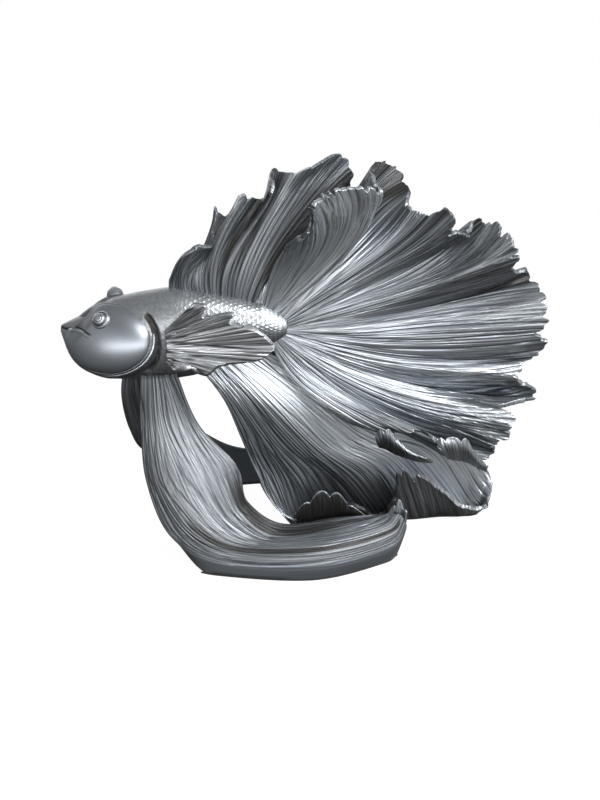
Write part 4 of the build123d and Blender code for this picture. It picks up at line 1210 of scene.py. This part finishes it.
# Foot pads
# Thin black felt, cut to the outline of each foot and stuck on.
felt, tree, surface = finish("black_felt", {"Roughness": 0.95, "Sheen Weight": 0.3})
place = tree.nodes.new("ShaderNodeTexCoord").outputs["Object"]
fibres = added(tree, "ShaderNodeTexNoise", {"Vector": place, "Scale": 1800, "Distortion": 2.5}).outputs["Fac"]
nap = added(tree, "ShaderNodeBump", {"Height": fibres, "Distance": 0.0003})
fed(surface, {
    "Base Color": blend(tree, fibres, (0.008, 0.008, 0.009, 1), (0.045, 0.045, 0.048, 1)),
    "Normal": nap.outputs["Normal"]})
for name in ("left", "right", "middle"):
    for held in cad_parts[f"foot_pad_{name}"].material_slots:
        held.material = felt

# Studio
# A white table in a light room: a key light from the upper right front, a low strip before it, a faint
# fill, and lamps to its right and behind it. The camera looks down on it by 25 degrees.
CAMERA_DISTANCE = 0.8
CAMERA_ABOVE = 25.0
CAMERA_LENS = 54
TARGET = Vector((0, 0, 0.100))
TABLE_LIFT = 0.92
ROOM_LIGHT = 0.30
TABLE_CLEAR_FROM = 0.20
TABLE_CLEAR_TO = 0.42
# Lamps: place, width, height and power
LAMPS = {
    "key": ((0.9, -0.9, 1.5), 0.9, 0.9, 17),
    "strip": ((0.1, -1.6, 0.62), 2.8, 0.22, 16),
    "fill": ((-1.4, -1.0, 0.9), 1.2, 1.2, 1),
    "side": ((1.1, -0.1, 0.9), 0.7, 0.7, 8),
    "back": ((-0.5, 1.6, 0.4), 1.6, 1.6, 9),
}


def aimed(name, data, place):
    """New camera or lamp that looks at the figurine."""
    thing = linked(name, data)
    thing.location = place
    thing.rotation_euler = (TARGET - Vector(place)).to_track_quat("-Z", "Y").to_euler()
    return thing


above = np.radians(CAMERA_ABOVE)
camera = aimed(
    "camera", bpy.data.cameras.new("camera"),
    TARGET + CAMERA_DISTANCE * Vector((0, -np.cos(above), np.sin(above))))
camera.data.lens = CAMERA_LENS
camera.data.sensor_width = 36
bpy.context.scene.camera = camera

floor_mesh = bpy.data.meshes.new("table_top")
floor_mesh.from_pydata([(-4, -4, 0), (4, -4, 0), (4, 4, 0), (-4, 4, 0)], [], [(0, 1, 2, 3)])
floor = linked("table_top", floor_mesh)
white, tree, surface = finish("white_table", {
    "Base Color": (0.2, 0.2, 0.2, 1), "Roughness": 0.9, "Specular IOR Level": 0.0,
    "Emission Color": (1, 1, 1, 1)})
from_middle = tree.nodes.new("ShaderNodeVectorMath")
from_middle.operation = "LENGTH"
fed(from_middle, {0: tree.nodes.new("ShaderNodeTexCoord").outputs["Object"]})
fade = ranged(tree, from_middle.outputs["Value"], TABLE_CLEAR_FROM, TABLE_CLEAR_TO, 1, 0)
fade.interpolation_type = "SMOOTHSTEP"
ray = tree.nodes.new("ShaderNodeLightPath").outputs
lift = ranged(tree, ray["Is Camera Ray"], 0, 1, 0, TABLE_LIFT)
fed(surface, {"Alpha": fade.outputs["Result"], "Emission Strength": lift.outputs["Result"]})
floor.data.materials.append(white)

for name, (place, width, height, power) in LAMPS.items():
    lamp = aimed(name, bpy.data.lights.new(name, "AREA"), place).data
    lamp.shape = "RECTANGLE"
    lamp.size, lamp.size_y, lamp.energy = width, height, power

world = bpy.data.worlds.new("studio")
bpy.context.scene.world = world
world.use_nodes = True
tree = world.node_tree
ray = tree.nodes.new("ShaderNodeLightPath").outputs
shown = tree.nodes.new("ShaderNodeMath")
shown.operation = "MAXIMUM"
fed(shown, {0: ray["Is Camera Ray"], 1: ray["Is Transmission Ray"]})
strength = ranged(tree, shown.outputs[0], 0, 1, ROOM_LIGHT, 1)
fed(tree.nodes["Background"], {"Color": (1, 1, 1, 1), "Strength": strength.outputs["Result"]})
bpy.context.scene.view_settings.view_transform = "Standard"
